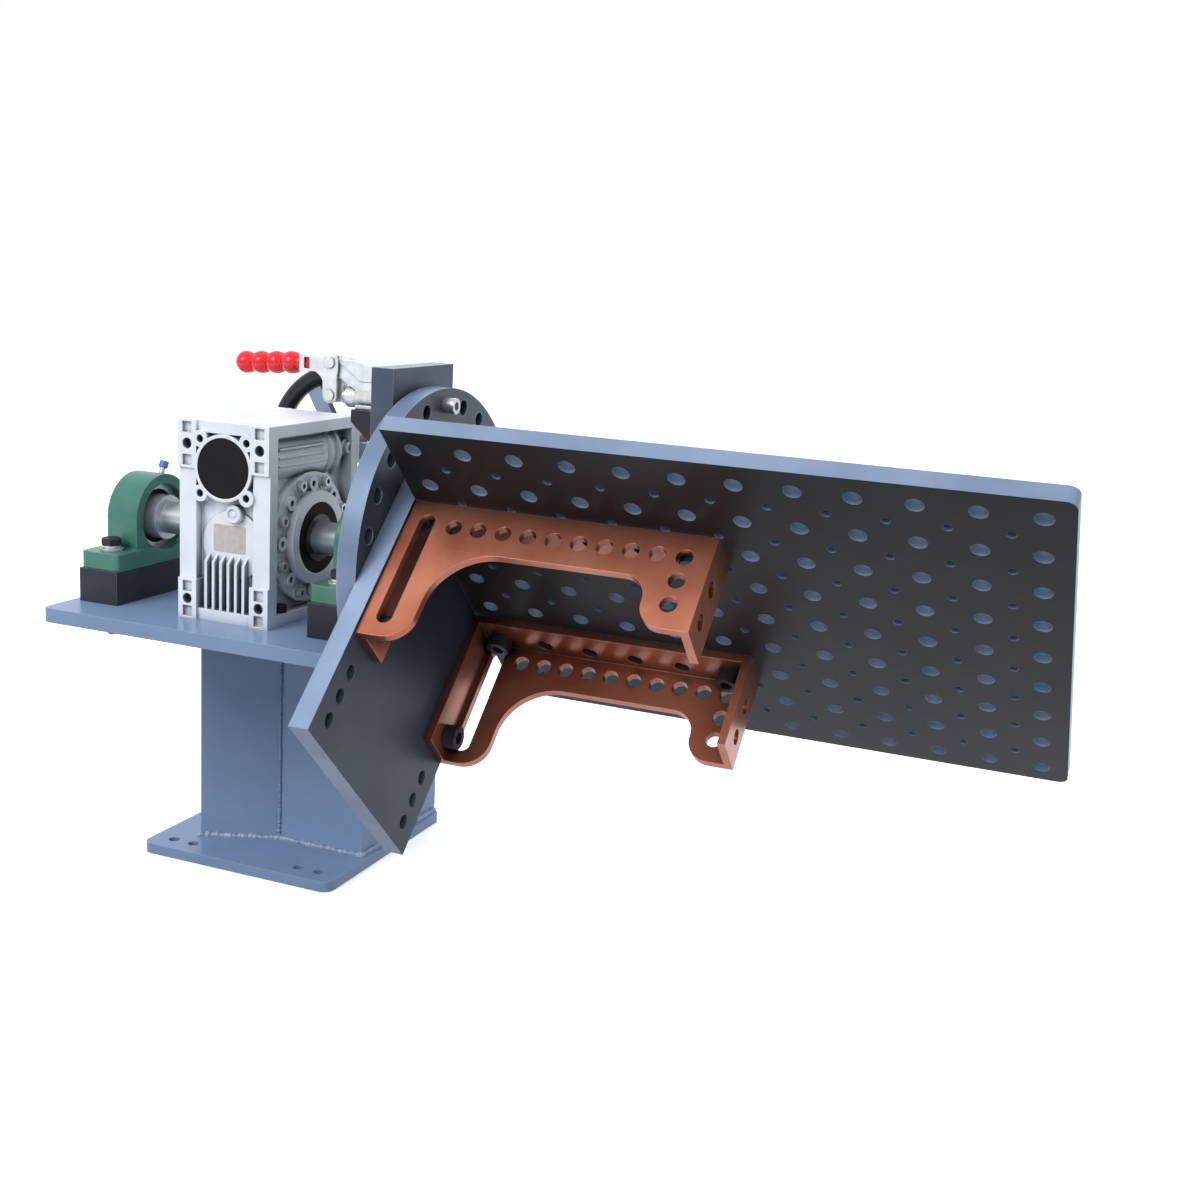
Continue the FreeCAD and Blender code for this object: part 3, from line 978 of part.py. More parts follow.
def make_clamp():
    pivot = ("pivot_x", axis_y, pivot_z)
    drive = ("pivot_x", axis_y, pin_z)
    foot_low = f"({pin_z} - guide_r)"
    solids = [box("ClampFoot", ("shelf_x", "2 * clamp_half_y", "guide_r"), ("block_x - shelf_x", f"{axis_y} - clamp_half_y", foot_low)),
              rod("ClampGuide", "guide_r", "block_x - guide_left", ("guide_left", axis_y, pin_z), "x")]
    boss = "(rivet_r + 6)"
    for y in (f"{axis_y} - cheek_gap - cheek_t", f"{axis_y} + cheek_gap"):
        points = [(f"pivot_x - {boss} / 2", f"{pivot_z} - {boss}"), ("guide_left + guide_r * 2", pin_z), ("block_x", pin_z),
                  ("block_x", f"{pin_z} + guide_r + 4"), (f"pivot_x + {boss} * 1.6", f"{pivot_z} + {boss} * 0.8"),
                  (f"pivot_x - {boss} * 0.2", f"{pivot_z} + {boss}"), (f"pivot_x - {boss}", f"{pivot_z} + {boss} * 0.3"),
                  (f"pivot_x - {boss}", f"{pivot_z} - {boss} * 0.4")]
        solids.append(plate_in_xz("Cheek", points, y, "cheek_t"))
    wide = "(2 * (lever_gap + lever_t) + 1)"
    tools = [rod("PlungerBore", "plunger_r + fit_clear", "block_x - guide_left", ("guide_left", axis_y, pin_z), "x"),
             rod("CheekBore", "rivet_r", wide, ("pivot_x", f"{axis_y} - {wide} / 2", pivot_z), "y")]
    publish(cut("ClampBody", fuse("ClampBlank", solids), tools), "clamp_body")

    def rivet(name, at, node):
        long = "(2 * (lever_gap + lever_t) + 0.4)"
        stem = rod(name + "Stem", "rivet_r", f"{long} + 2 * rivet_head_h", (at[0], f"{axis_y} - {long} / 2 - rivet_head_h", at[2]), "y")
        heads = [rod(name + "Head", "rivet_head_r", "rivet_head_h", (at[0], y, at[2]), "y")
                 for y in (f"{axis_y} - {long} / 2 - rivet_head_h", f"{axis_y} + {long} / 2")]
        publish(fuse(name, [stem] + heads), node)
    rivet("PivotRivet", pivot, "clamp_pivot_rivet")
    rivet("DriveRivet", drive, "clamp_drive_rivet")

    # Lever: two side plates joined by a bridge, with a tang inside the grip
    plates = []
    arm = "lever_arm_r"
    for y in (f"{axis_y} - lever_gap - lever_t", f"{axis_y} + lever_gap"):
        points = [(f"pivot_x - {arm}", f"{pin_z} - {arm} * 0.5"), (f"pivot_x - {arm} * 0.5", f"{pin_z} - {arm}"),
                  (f"pivot_x + {arm} * 0.5", f"{pin_z} - {arm}"), (f"pivot_x + {arm}", f"{pin_z} - {arm} * 0.5"),
                  (f"pivot_x + {arm}", f"{pivot_z} + {arm} * 0.5"), (f"pivot_x + {arm} * 0.5", f"{pivot_z} + {arm} * 1.3"),
                  ("lever_left", f"{pivot_z} + {arm} * 1.3"), ("lever_left", f"{pivot_z} - {arm} * 0.6"),
                  (f"pivot_x - {arm} * 2", f"{pivot_z} - {arm} * 0.8"), (f"pivot_x - {arm}", f"{pivot_z} - {arm} * 2")]
        plates.append(plate_in_xz("LeverPlate", points, y, "lever_t"))
    grip_z = f"({pivot_z} + {arm} * 0.35)"
    bridge = box("LeverBridge", ("lever_t * 3", "2 * lever_gap", f"{arm} * 1.4"), ("lever_left", f"{axis_y} - lever_gap", f"{grip_z} - {arm} * 0.7"))
    tang = box("LeverTang", ("tang_long", "2 * tang_half_y", "2 * tang_half_z"),
               ("lever_left - tang_long", f"{axis_y} - tang_half_y", f"{grip_z} - tang_half_z"))
    bores = [rod("PivotBore", "rivet_r + fit_clear", wide, ("pivot_x", f"{axis_y} - {wide} / 2", pivot_z), "y"),
             rod("DriveBore", "rivet_r", wide, ("pivot_x", f"{axis_y} - {wide} / 2", pin_z), "y")]
    publish(cut("Lever", fuse("LeverBlank", plates + [bridge, tang]), bores), "clamp_lever")

    # Grip: four bulbs in a row, hollow round the tang
    grip = body("Grip")
    profile = sketch(grip, "XZ_Plane")
    pitch = "((lever_left - grip_left) / grip_bulbs)"
    waist = "(grip_r - grip_waist)"
    bulge = f"(({pitch} * {pitch} / 4 + grip_waist * grip_waist) / 2 / grip_waist)"
    count = sizes["grip_bulbs"]
    length = "(lever_left - grip_left)"
    ends = [(f"-{step} * {pitch}", waist) for step in range(count + 1)]
    for step in range(count):
        start = Vector(-step * value(pitch), value(waist), 0)
        stop = Vector(-(step + 1) * value(pitch), value(waist), 0)
        crest = Vector(-(step + 0.5) * value(pitch), value("grip_r"), 0)
        profile.addGeometry(Part.Arc(start, crest, stop), False)
    for step in range(count):
        index = profile.addConstraint(Sketcher.Constraint("Radius", step, value(bulge)))
        profile.setExpression(f"Constraints[{index}]", bound(bulge))
        pin_point(profile, step, 1, *ends[step])
        if step:
            profile.addConstraint(Sketcher.Constraint("Coincident", step - 1, 2, step, 1))
    pin_point(profile, count - 1, 2, *ends[count])
    corners = [Vector(-value(length), value(waist), 0), Vector(-value(length), 0, 0), Vector(0, 0, 0), Vector(0, value(waist), 0)]
    for here, there in zip(corners, corners[1:]):
        profile.addGeometry(Part.LineSegment(here, there), False)
    profile.addConstraint(Sketcher.Constraint("Coincident", count - 1, 2, count, 1))
    profile.addConstraint(Sketcher.Constraint("Coincident", count, 2, count + 1, 1))
    profile.addConstraint(Sketcher.Constraint("Coincident", count + 1, 2, count + 2, 1))
    profile.addConstraint(Sketcher.Constraint("Coincident", count + 2, 2, 0, 1))
    profile.addConstraint(Sketcher.Constraint("Horizontal", count + 1))
    profile.addConstraint(Sketcher.Constraint("Vertical", count))
    profile.addConstraint(Sketcher.Constraint("PointOnObject", count + 1, 2, -1))
    profile.addConstraint(Sketcher.Constraint("Vertical", count + 2))
    revolve(grip, profile, "H_Axis")
    place(grip, ("lever_left", axis_y, grip_z))
    room = box("GripRoom", ("tang_long", "2 * tang_half_y", "2 * tang_half_z"),
               ("lever_left - tang_long", f"{axis_y} - tang_half_y", f"{grip_z} - tang_half_z"))
    publish(cut("GripHollow", grip, [room]), "clamp_grip")

    # Plunger with a flat tongue, slotted across for the lever's rivet
    rod_left = "(guide_left - 4)"
    solids = [rod("PlungerRod", "plunger_r", f"disc_x - plunger_gap - {rod_left}", (rod_left, axis_y, pin_z), "x"),
              box("Tongue", (f"{rod_left} - pivot_x + 2 * rivet_head_r", "2 * tongue_half", "plunger_r * 2 + 10"),
                  ("pivot_x - 2 * rivet_head_r", f"{axis_y} - tongue_half", f"{pin_z} - plunger_r"))]
    tools = [box("TongueSlot", ("2 * tongue_slot_half", "2 * tongue_half", "plunger_r + 10"),
                 ("pivot_x - tongue_slot_half", f"{axis_y} - tongue_half", f"{pin_z} - rivet_r - 1"))]
    publish(cut("Plunger", fuse("PlungerBlank", solids), tools), "clamp_plunger")


make_base()
beads = make_column()
publish(group("ColumnWelds", beads), "column_welds")
make_table()
bits = [make_bearing("left", "(-left_bearing)", True), make_bearing("right", "right_bearing", False)]
publish(group("SetScrews", [side[0] for side in bits]), "bearing_set_screws")
publish(group("Nipples", [side[1] for side in bits]), "grease_nipples")
publish(group("NippleCaps", [side[2] for side in bits]), "grease_caps")
make_foot_bolts()
make_gear_housing()
make_gear_inside()
make_disc()
make_end_plate()
make_long_plate()
make_square("near", "-")
make_square("far", "+")
make_fixture_bolts()
make_index_block()
make_clamp()

doc.recompute()
for thing in doc.Objects:
    if {"Invalid", "Error"} & set(thing.State):
        raise RuntimeError(f"{thing.Label} failed: {thing.State}")
for node in nodes:
    if node.Shape.isNull() or not node.Shape.isValid():
        raise RuntimeError(f"{node.Label} has no valid shape")
    node.Shape.exportStep(f"parts/{node.Label}.step")
print(len(nodes), "sub-parts written")
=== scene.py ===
import bpy
import bmesh
import math
from mathutils import Euler, Matrix, Vector


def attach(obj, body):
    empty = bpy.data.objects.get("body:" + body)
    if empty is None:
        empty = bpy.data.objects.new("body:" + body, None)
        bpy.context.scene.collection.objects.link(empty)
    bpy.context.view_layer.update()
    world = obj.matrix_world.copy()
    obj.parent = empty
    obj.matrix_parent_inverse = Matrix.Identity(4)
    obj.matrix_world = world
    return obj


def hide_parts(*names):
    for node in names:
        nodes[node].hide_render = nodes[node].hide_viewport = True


# Welding positioner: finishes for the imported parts, and the small forms that stand on them
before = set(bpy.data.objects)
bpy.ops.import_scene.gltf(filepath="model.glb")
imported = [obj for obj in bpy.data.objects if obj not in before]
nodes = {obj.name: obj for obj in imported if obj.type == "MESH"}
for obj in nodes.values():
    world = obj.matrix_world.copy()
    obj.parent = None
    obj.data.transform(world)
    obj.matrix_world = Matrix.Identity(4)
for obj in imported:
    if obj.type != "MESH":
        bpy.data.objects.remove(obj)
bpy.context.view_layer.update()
print("frame loaded:", len(nodes), "parts")

mm = 0.001
spindle = {"y": -142.5, "z": 400.0, "wormZ": 475.0, "gearX": 53.0}      # axes of the machine, in mm
across = math.sin(math.radians(45))                                     # the fixture's tilt at rest
plateAxis = (0, across, across)                                         # out of the long plate's back
alongX = (1, 0, 0)


# Small helpers for materials
def sRgb(text):
    parts = [int(text[i:i + 2], 16) / 255 for i in (1, 3, 5)]
    return tuple(c / 12.92 if c <= 0.04045 else ((c + 0.055) / 1.055) ** 2.4 for c in parts) + (1,)


def addNode(tree, kind, inputs=None, **settings):
    node = tree.nodes.new(kind)
    for name, setting in settings.items():
        setattr(node, name, setting)
    for name, given in (inputs or {}).items():
        if isinstance(given, bpy.types.NodeSocket):
            tree.links.new(given, node.inputs[name])
        else:
            node.inputs[name].default_value = given
    return node


def blendColours(tree, share, low, high):
    return addNode(tree, "ShaderNodeMix", {0: share, 6: low, 7: high}, data_type="RGBA").outputs[2]


def joinVectors(tree, operation, first, second):
    return addNode(tree, "ShaderNodeVectorMath", {0: first, 1: second}, operation=operation)


def joinNumbers(tree, operation, first, second):
    return addNode(tree, "ShaderNodeMath", {0: first, 1: second}, operation=operation).outputs[0]


# 1 where a face looks along the axis either way, 0 where it stands square to it
def facingShare(tree, normal, axis):
    turned = joinVectors(tree, "DOT_PRODUCT", normal, axis)
    return addNode(tree, "ShaderNodeMath", {0: turned.outputs["Value"]}, operation="ABSOLUTE").outputs[0]


# What all finishes share: where each effect starts and ends, and what a look has when it names no value
shading = {
    "cloudDetail": 4.0, "cloudFrom": 0.36, "cloudTo": 0.64, "grainDetail": 2.0, "grainDepth": 0.4,
    "sideFrom": 0.9, "sideTo": 0.8, "flatFrom": 0.97, "hollowFrom": 0.75, "hollowTo": 0.25, "raySamples": 6,
    "soundFrom": 0.6, "cornerFrom": 0.985, "cornerTo": 0.86, "edgeWearHighlightMost": 0.7, "sheen": 0.4, "coatRough": 0.1,
}


# One finish: a cloudy base colour, a fine grain in the bump, rounded edges that catch the light and are
# painted paler (partly wear, partly a painted highlight), painted shade in holes and corners, and where a face
# has its own direction, a second colour for all that doesn't face that way
def makeFinish(name, look):
    s = shading
    material = bpy.data.materials.new(name)
    material.use_nodes = True
    tree = material.node_tree
    tree.nodes.clear()
    place = addNode(tree, "ShaderNodeTexCoord")
    where = place.outputs["Object"]
    cloud = addNode(tree, "ShaderNodeTexNoise", {
        "Vector": where, "Scale": 1 / (look["cloudMm"] * mm), "Detail": s["cloudDetail"]})
    share = addNode(tree, "ShaderNodeMapRange", {
        "Value": cloud.outputs[0], "From Min": s["cloudFrom"], "From Max": s["cloudTo"]}).outputs[0]
    tint = blendColours(tree, share, sRgb(look["base"]), sRgb(look["second"]))
    if "faceAxis" in look:
        facing = facingShare(tree, place.outputs["Normal"], look["faceAxis"])
        side = addNode(tree, "ShaderNodeMapRange", {
            "Value": facing, "From Min": s["sideFrom"], "From Max": s["sideTo"]}).outputs[0]
        sideTint = blendColours(tree, share, sRgb(look["side"]), sRgb(look["sideSecond"]))
        tint = blendColours(tree, side, tint, sideTint)

    grainScale = 1 / (look["grainMm"] * mm)
    if look.get("lay") == "rings":                      # turned: the tool's rings about the spindle
        centred = joinVectors(tree, "ADD", where, (0, -spindle["y"] * mm, -spindle["z"] * mm))
        flat = joinVectors(tree, "MULTIPLY", centred.outputs[0], (0, 1, 1))
        reach = addNode(tree, "ShaderNodeVectorMath", {0: flat.outputs[0]}, operation="LENGTH")
        grain = addNode(tree, "ShaderNodeTexNoise", {"W": reach.outputs["Value"], "Scale": grainScale},
                        noise_dimensions="1D")
    else:                                               # ground or rolled: the grain is drawn out one way
        drawn = joinVectors(tree, "MULTIPLY", where, look.get("stretch", (1, 1, 1)))
        grain = addNode(tree, "ShaderNodeTexNoise", {
            "Vector": drawn.outputs[0], "Scale": grainScale, "Detail": s["grainDetail"]})
    if "polished" in look:                              # a machined face on a painted casting, within a circle
        facing = facingShare(tree, place.outputs["Normal"], look["polishedAxis"])
        flush = joinNumbers(tree, "GREATER_THAN", facing, s["flatFrom"])
        reach = joinVectors(tree, "DISTANCE", where, [c * mm for c in look["polishedCentre"]])
        inside = joinNumbers(tree, "LESS_THAN", reach.outputs["Value"], look["polishedMm"] * mm)
        bare = joinNumbers(tree, "MULTIPLY", flush, inside)
        tint = blendColours(tree, bare, tint, sRgb(look["polished"]))
    if "hollow" in look:                                # painted shade in holes and corners, where the ambient occlusion is low
        shade = addNode(tree, "ShaderNodeAmbientOcclusion", {"Distance": look["hollowMm"] * mm},
                        samples=s["raySamples"])
        paintedShadingShare = addNode(tree, "ShaderNodeMapRange", {
            "Value": shade.outputs["AO"], "From Min": look.get("hollowFrom", s["hollowFrom"]),
            "From Max": s["hollowTo"]})
        tint = blendColours(tree, paintedShadingShare.outputs[0], tint, sRgb(look["hollow"]))

    # Rounded edges; a sample whose rays missed the surface has a normal far off and keeps the face's own
    rounded = addNode(tree, "ShaderNodeBevel", {"Radius": look["edgeMm"] * mm}, samples=s["raySamples"])
    own = addNode(tree, "ShaderNodeNewGeometry").outputs["Normal"]
    meet = joinVectors(tree, "DOT_PRODUCT", rounded.outputs[0], own).outputs["Value"]
    sound = joinNumbers(tree, "GREATER_THAN", meet, s["soundFrom"])
    edge = addNode(tree, "ShaderNodeMix", {0: sound, 4: own, 5: rounded.outputs[0]}, data_type="VECTOR")
    bump = addNode(tree, "ShaderNodeBump", {
        "Height": grain.outputs[0], "Strength": look["bump"],
        "Distance": look["grainMm"] * mm * s["grainDepth"], "Normal": edge.outputs[1]})
    # Edge wear and painted highlight: the rounded edges turn towards a paler colour
    if "edgeWearHighlightColour" in look:
        corner = addNode(tree, "ShaderNodeMapRange", {
            "Value": meet, "From Min": s["cornerFrom"], "From Max": s["cornerTo"],
            "To Max": look.get("edgeWearHighlightMost", s["edgeWearHighlightMost"])})
        edgeWearHighlightMask = joinNumbers(tree, "MULTIPLY", corner.outputs[0], sound)
        tint = blendColours(tree, edgeWearHighlightMask, tint, sRgb(look["edgeWearHighlightColour"]))
    shader = addNode(tree, "ShaderNodeBsdfPrincipled", {
        "Base Color": tint, "Metallic": look.get("metallic", 0.0), "Roughness": look["rough"],
        "Specular IOR Level": look.get("sheen", s["sheen"]), "Coat Weight": look.get("coat", 0.0),
        "Coat Roughness": look.get("coatRough", s["coatRough"]), "Normal": bump.outputs[0]})
    addNode(tree, "ShaderNodeOutputMaterial", {"Surface": shader.outputs[0]})
    return material


looks = {
    # Two-pack enamel sprayed on mild steel: slight orange peel, soft gloss, paler where dust settles; edges
    # painted paler, partly wear and partly a painted highlight
    "enamelOnSteelSprayed": {
        "sheen": 0.25, "base": "#7c93b1", "second": "#839bbb", "cloudMm": 120, "grainMm": 5.0,
        "rough": 0.28, "bump": 0.02, "edgeMm": 1.2, "edgeWearHighlightColour": "#a9bbd0", "edgeWearHighlightMost": 0.6, "coat": 0.06,
        "coatRough": 0.16},
    # Weld metal under the same paint: uneven, chalky ridges
    "weldMetalPainted": {
        "base": "#8496b2", "second": "#aab8cb", "cloudMm": 7, "grainMm": 1.2, "rough": 0.5, "bump": 0.3,
        "edgeMm": 0.4, "metallic": 0.2},
    # Mild steel block painted blue-black, milled first: faint straight grain, corners painted paler, partly
    # wear and partly a painted highlight
    "steelPaintedBlueBlack": {
        "sheen": 0.2, "base": "#2b2d32", "second": "#34373e", "cloudMm": 60, "grainMm": 1.5, "rough": 0.4,
        "bump": 0.08, "edgeMm": 1.0, "edgeWearHighlightColour": "#8c99aa", "edgeWearHighlightMost": 0.6, "metallic": 0.05},
    # Index block: milled steel, blued, the cutter's lay up and down; edges painted paler, partly wear and
    # partly a painted highlight
    "steelMilledBlued": {
        "sheen": 0.25, "base": "#414a57", "second": "#4d5867", "cloudMm": 70, "grainMm": 0.8, "rough": 0.42,
        "bump": 0.12, "stretch": (1, 0.15, 1), "edgeMm": 1.0, "edgeWearHighlightColour": "#9fb0c4", "edgeWearHighlightMost": 0.7,
        "metallic": 0.2},
    # Cast iron bearing housing in bottle-green enamel, sand-cast skin under the paint; edges painted paler,
    # partly wear and partly a painted highlight, and a painted shade in its hollows
    "castIronGreenEnamel": {
        "sheen": 0.3, "base": "#3f7663", "second": "#498372", "cloudMm": 45, "grainMm": 4.0, "rough": 0.3,
        "bump": 0.08, "edgeMm": 2.5, "edgeWearHighlightColour": "#8fb8a8", "edgeWearHighlightMost": 0.35, "coat": 0.15, "coatRough": 0.14,
        "hollow": "#1c3d34", "hollowMm": 14, "hollowFrom": 0.6},
    # Chrome steel, ground and lapped: near-mirror with fine rings
    "chromeSteelGround": {
        "base": "#d3d5d7", "second": "#c2c5c9", "cloudMm": 25, "grainMm": 0.8, "rough": 0.32, "bump": 0.03,
        "stretch": (1, 0.2, 0.2), "edgeMm": 0.5, "metallic": 0.6},
    # Spindle steel, cylindrically ground, lightly oiled
    "spindleSteelGround": {
        "base": "#bcc0c5", "second": "#a9aeb4", "cloudMm": 30, "grainMm": 0.8, "rough": 0.34, "bump": 0.03,
        "stretch": (1, 0.12, 0.12), "edgeMm": 0.6, "metallic": 0.8},
    # Seals and end cap: nitrile rubber, compression moulded, matt black
    "nitrileRubberMoulded": {
        "sheen": 0.15, "base": "#0b0b0c", "second": "#101011", "cloudMm": 20, "grainMm": 1.5, "rough": 0.62,
        "bump": 0.06, "edgeMm": 0.5},
    # Grease nipple caps: blue polyethylene, injection moulded
    "polyethyleneBlueMoulded": {
        "base": "#4f78b8", "second": "#5b86c6", "cloudMm": 6, "grainMm": 0.8, "rough": 0.4, "bump": 0.05,
        "edgeMm": 0.8},
    # Steel pressings, bright zinc plate: pale, slightly cloudy, soft reflections; edges painted paler, partly
    # wear and partly a painted highlight, and a painted shade in tight crevices
    "steelZincPlated": {
        "base": "#e0e2df", "second": "#ced2d2", "cloudMm": 9, "grainMm": 1.2, "rough": 0.36, "bump": 0.05,
        "edgeMm": 0.5, "edgeWearHighlightColour": "#f8f8f8", "edgeWearHighlightMost": 0.6, "metallic": 0.5, "hollow": "#4a4e51", "hollowMm": 5,
        "hollowFrom": 0.92},
    # Screws and bolts: cold-headed steel with a black oxide finish; edges painted paler, partly wear and
    # partly a painted highlight
    "steelBlackOxide": {
        "sheen": 0.3, "base": "#202124", "second": "#2b2c30", "cloudMm": 10, "grainMm": 0.6, "rough": 0.45,
        "bump": 0.1, "edgeMm": 0.5, "edgeWearHighlightColour": "#6b6f75", "edgeWearHighlightMost": 0.5, "metallic": 0.2},
    # Die-cast aluminium, blasted and sprayed silver: fine pebble, corners painted white, partly wear and
    # partly a painted highlight, and a painted shade in the hollows
    "aluminiumCastSilver": {
        "base": "#e9ecf0", "second": "#dfe3e8", "cloudMm": 40, "grainMm": 1.4, "rough": 0.36, "bump": 0.08,
        "edgeMm": 1.6, "edgeWearHighlightColour": "#ffffff", "edgeWearHighlightMost": 0.85, "metallic": 0.15, "hollow": "#4d5a66",
        "hollowMm": 18, "hollowFrom": 0.62, "polished": "#f4f6f8", "polishedAxis": alongX,
        "polishedCentre": (112, -142.5, 400), "polishedMm": 50},
    # Index disc: turned on a lathe and blued, the rim polished paler; edges painted paler, partly wear and
    # partly a painted highlight, and a painted shade in its holes
    "steelTurnedBlued": {
        "sheen": 0.25, "base": "#3b4047", "second": "#474d55", "side": "#6f8098", "sideSecond": "#7c8da5",
        "faceAxis": alongX, "cloudMm": 80, "grainMm": 0.7, "lay": "rings", "rough": 0.38, "bump": 0.06,
        "edgeMm": 1.4, "edgeWearHighlightColour": "#bccadb", "edgeWearHighlightMost": 0.8, "metallic": 0.2, "hollow": "#0d0e10", "hollowMm": 34},
    # Long plate: rolled steel, flame-blackened face, milled and drilled edges left blue-grey; edges painted
    # paler, partly wear and partly a painted highlight, and painted light and shade, a mid blue-grey, in holes
    # and corners
    "steelBlackenedLong": {
        "sheen": 0.12, "base": "#202021", "second": "#2b2b2b", "side": "#7b8ba1", "sideSecond": "#8b9ab0",
        "faceAxis": plateAxis, "cloudMm": 95, "grainMm": 2.0, "rough": 0.36, "bump": 0.03,
        "stretch": (0.2, 1, 1), "edgeMm": 0.9, "edgeWearHighlightColour": "#9aa9be", "edgeWearHighlightMost": 0.6, "metallic": 0.05,
        "hollow": "#66788e", "hollowMm": 14, "hollowFrom": 0.6},
    # End plate: rolled steel, blackened, bluer than the long one; edges painted paler, partly wear and partly
    # a painted highlight, and a painted shade in its holes
    "steelBlackenedEnd": {
        "sheen": 0.15, "base": "#343b47", "second": "#3d4552", "side": "#8494ab", "sideSecond": "#98a9c0",
        "faceAxis": alongX, "cloudMm": 90, "grainMm": 2.0, "rough": 0.36, "bump": 0.03,
        "stretch": (1, 0.3, 1), "edgeMm": 0.9, "edgeWearHighlightColour": "#9aa9be", "edgeWearHighlightMost": 0.6, "metallic": 0.1,
        "hollow": "#101216", "hollowMm": 34},
    # Clamping squares: laser-cut steel, copper-coloured anti-spatter finish; brown scale on the cuts and
    # painted shade, both a near-black brown where other parts hide the surface; edges painted paler, partly
    # wear and partly a painted highlight
    "steelCopperFinish": {
        "base": "#b2654b", "second": "#c47c61", "cloudMm": 60, "grainMm": 3.0, "rough": 0.28, "bump": 0.02,
        "stretch": (0.25, 1, 1), "edgeMm": 0.8, "edgeWearHighlightColour": "#d9a38c", "edgeWearHighlightMost": 0.5, "metallic": 0.5,
        "hollow": "#21120e", "hollowMm": 60, "hollowFrom": 0.92},
    # Handwheel and wheel hub: cast iron in black enamel, faces of hub and spokes machined; edges painted
    # paler, partly wear and partly a painted highlight
    "castIronBlackEnamel": {
        "sheen": 0.25, "base": "#15171a", "second": "#1d2024", "cloudMm": 30, "grainMm": 2.0, "rough": 0.32,
        "bump": 0.15, "edgeMm": 1.5, "edgeWearHighlightColour": "#4a4d54", "edgeWearHighlightMost": 0.3, "coat": 0.12, "coatRough": 0.12,
        "polished": "#8e9cb0", "polishedAxis": (0, 1, 0), "polishedCentre": (53, 0, 475), "polishedMm": 74},
    # Worm wheel rim: bronze, cast and hobbed
    "bronzeHobbed": {
        "base": "#b08a48", "second": "#9a7740", "cloudMm": 12, "grainMm": 0.5, "rough": 0.4, "bump": 0.1,
        "edgeMm": 0.4, "metallic": 1.0},
    # Soft PVC grip, dipped: wet red gloss, with a painted shade, a darker red, in the waists between the bulbs
    "vinylRedDipped": {
        "sheen": 0.4, "base": "#e6001f", "second": "#f0142f", "cloudMm": 18, "grainMm": 4.0, "rough": 0.24,
        "bump": 0.01, "edgeMm": 1.2, "coat": 0.2, "coatRough": 0.06, "hollow": "#9c0014", "hollowMm": 5,
        "hollowFrom": 0.7},
    # Polyester label, blank, printed grey-cream
    "polyesterLabelBlank": {
        "base": "#cfc8bd", "second": "#c4bdb2", "cloudMm": 7, "grainMm": 0.6, "rough": 0.5, "bump": 0.04,
        "edgeMm": 0.2},
}
finishes = {name: makeFinish(name, look) for name, look in looks.items()}
print("finishes made:", len(finishes))

finishOf = {
    "enamelOnSteelSprayed": ["base_plate", "column_box", "column_wing", "table_plate"],
    "weldMetalPainted": ["column_welds"],
    "steelPaintedBlueBlack": ["riser_left", "riser_right", "clamp_shelf"],
    "steelMilledBlued": ["index_block"],
    "castIronGreenEnamel": ["pillow_block_left", "pillow_block_right"],
    "chromeSteelGround": ["bearing_outer_ring_left", "bearing_outer_ring_right", "bearing_inner_ring_left",
                          "bearing_inner_ring_right", "wheel_bearings", "worm_bearings"],
    "nitrileRubberMoulded": ["bearing_shield_left", "bearing_shield_right", "gear_oil_seals", "worm_seal",
                             "input_cap"],
    "polyethyleneBlueMoulded": ["grease_caps"],
    "steelZincPlated": ["grease_nipples", "flat_washers", "spring_washers", "gear_cover_screws", "clamp_body",
                        "clamp_lever", "clamp_pivot_rivet", "clamp_drive_rivet", "clamp_plunger",
                        "handwheel_washer", "handwheel_nut"],
    "steelBlackOxide": ["bearing_set_screws", "pillow_block_bolts", "gear_foot_screws", "index_block_screws",
                        "disc_screws", "plate_screws", "fixture_bolts", "fixture_nuts"],
    "aluminiumCastSilver": ["gear_housing", "gear_cover_left", "gear_cover_right", "oil_plug"],
    "spindleSteelGround": ["spindle_shaft", "worm_shaft", "wheel_key", "handwheel_key", "stop_pin"],
    "steelTurnedBlued": ["index_disc"],
    "steelBlackenedLong": ["long_plate"],
    "steelBlackenedEnd": ["end_plate"],
    "steelCopperFinish": ["clamping_square_near", "clamping_square_far"],
    "castIronBlackEnamel": ["worm_wheel_hub", "handwheel"],
    "bronzeHobbed": ["worm_wheel_rim"],
    "vinylRedDipped": ["clamp_grip"],
}
for finish, members in finishOf.items():
    for member in members:
        mesh = nodes[member].data
        mesh.materials.clear()
        mesh.materials.append(finishes[finish])
print("parts dressed:", sum(len(m) for m in finishOf.values()))


# A finished piece: its mesh in place, one finish, riding on its body
def keepPiece(name, mesh, finish, body, standsFor=()):
    mesh.materials.clear()
    mesh.materials.append(finishes[finish])
    piece = bpy.data.objects.new(name, mesh)
    bpy.context.scene.collection.objects.link(piece)
    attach(piece, body)
    if standsFor:
        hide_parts(*standsFor)
    return piece


# Runs a Geometry Nodes tree on a mesh of points or edges and gives back the plain mesh
def growMesh(name, spots, edges, tree, given):
    seedMesh = bpy.data.meshes.new(name + "Spots")
    seedMesh.from_pydata([Vector(p) * mm for p in spots], edges, [])
    carrier = bpy.data.objects.new(name + "Carrier", seedMesh)
    bpy.context.scene.collection.objects.link(carrier)
    modifier = carrier.modifiers.new("Grow", "NODES")
    modifier.node_group = tree
    for item in tree.interface.items_tree:
        if item.item_type == "SOCKET" and item.in_out == "INPUT" and item.name in given:
            modifier[item.identifier] = given[item.name]
    bpy.context.view_layer.update()
    graph = bpy.context.evaluated_depsgraph_get()
    mesh = bpy.data.meshes.new_from_object(carrier.evaluated_get(graph))
    carrier.modifiers.remove(modifier)
    bpy.data.objects.remove(carrier)
    mesh.name = name
    return mesh


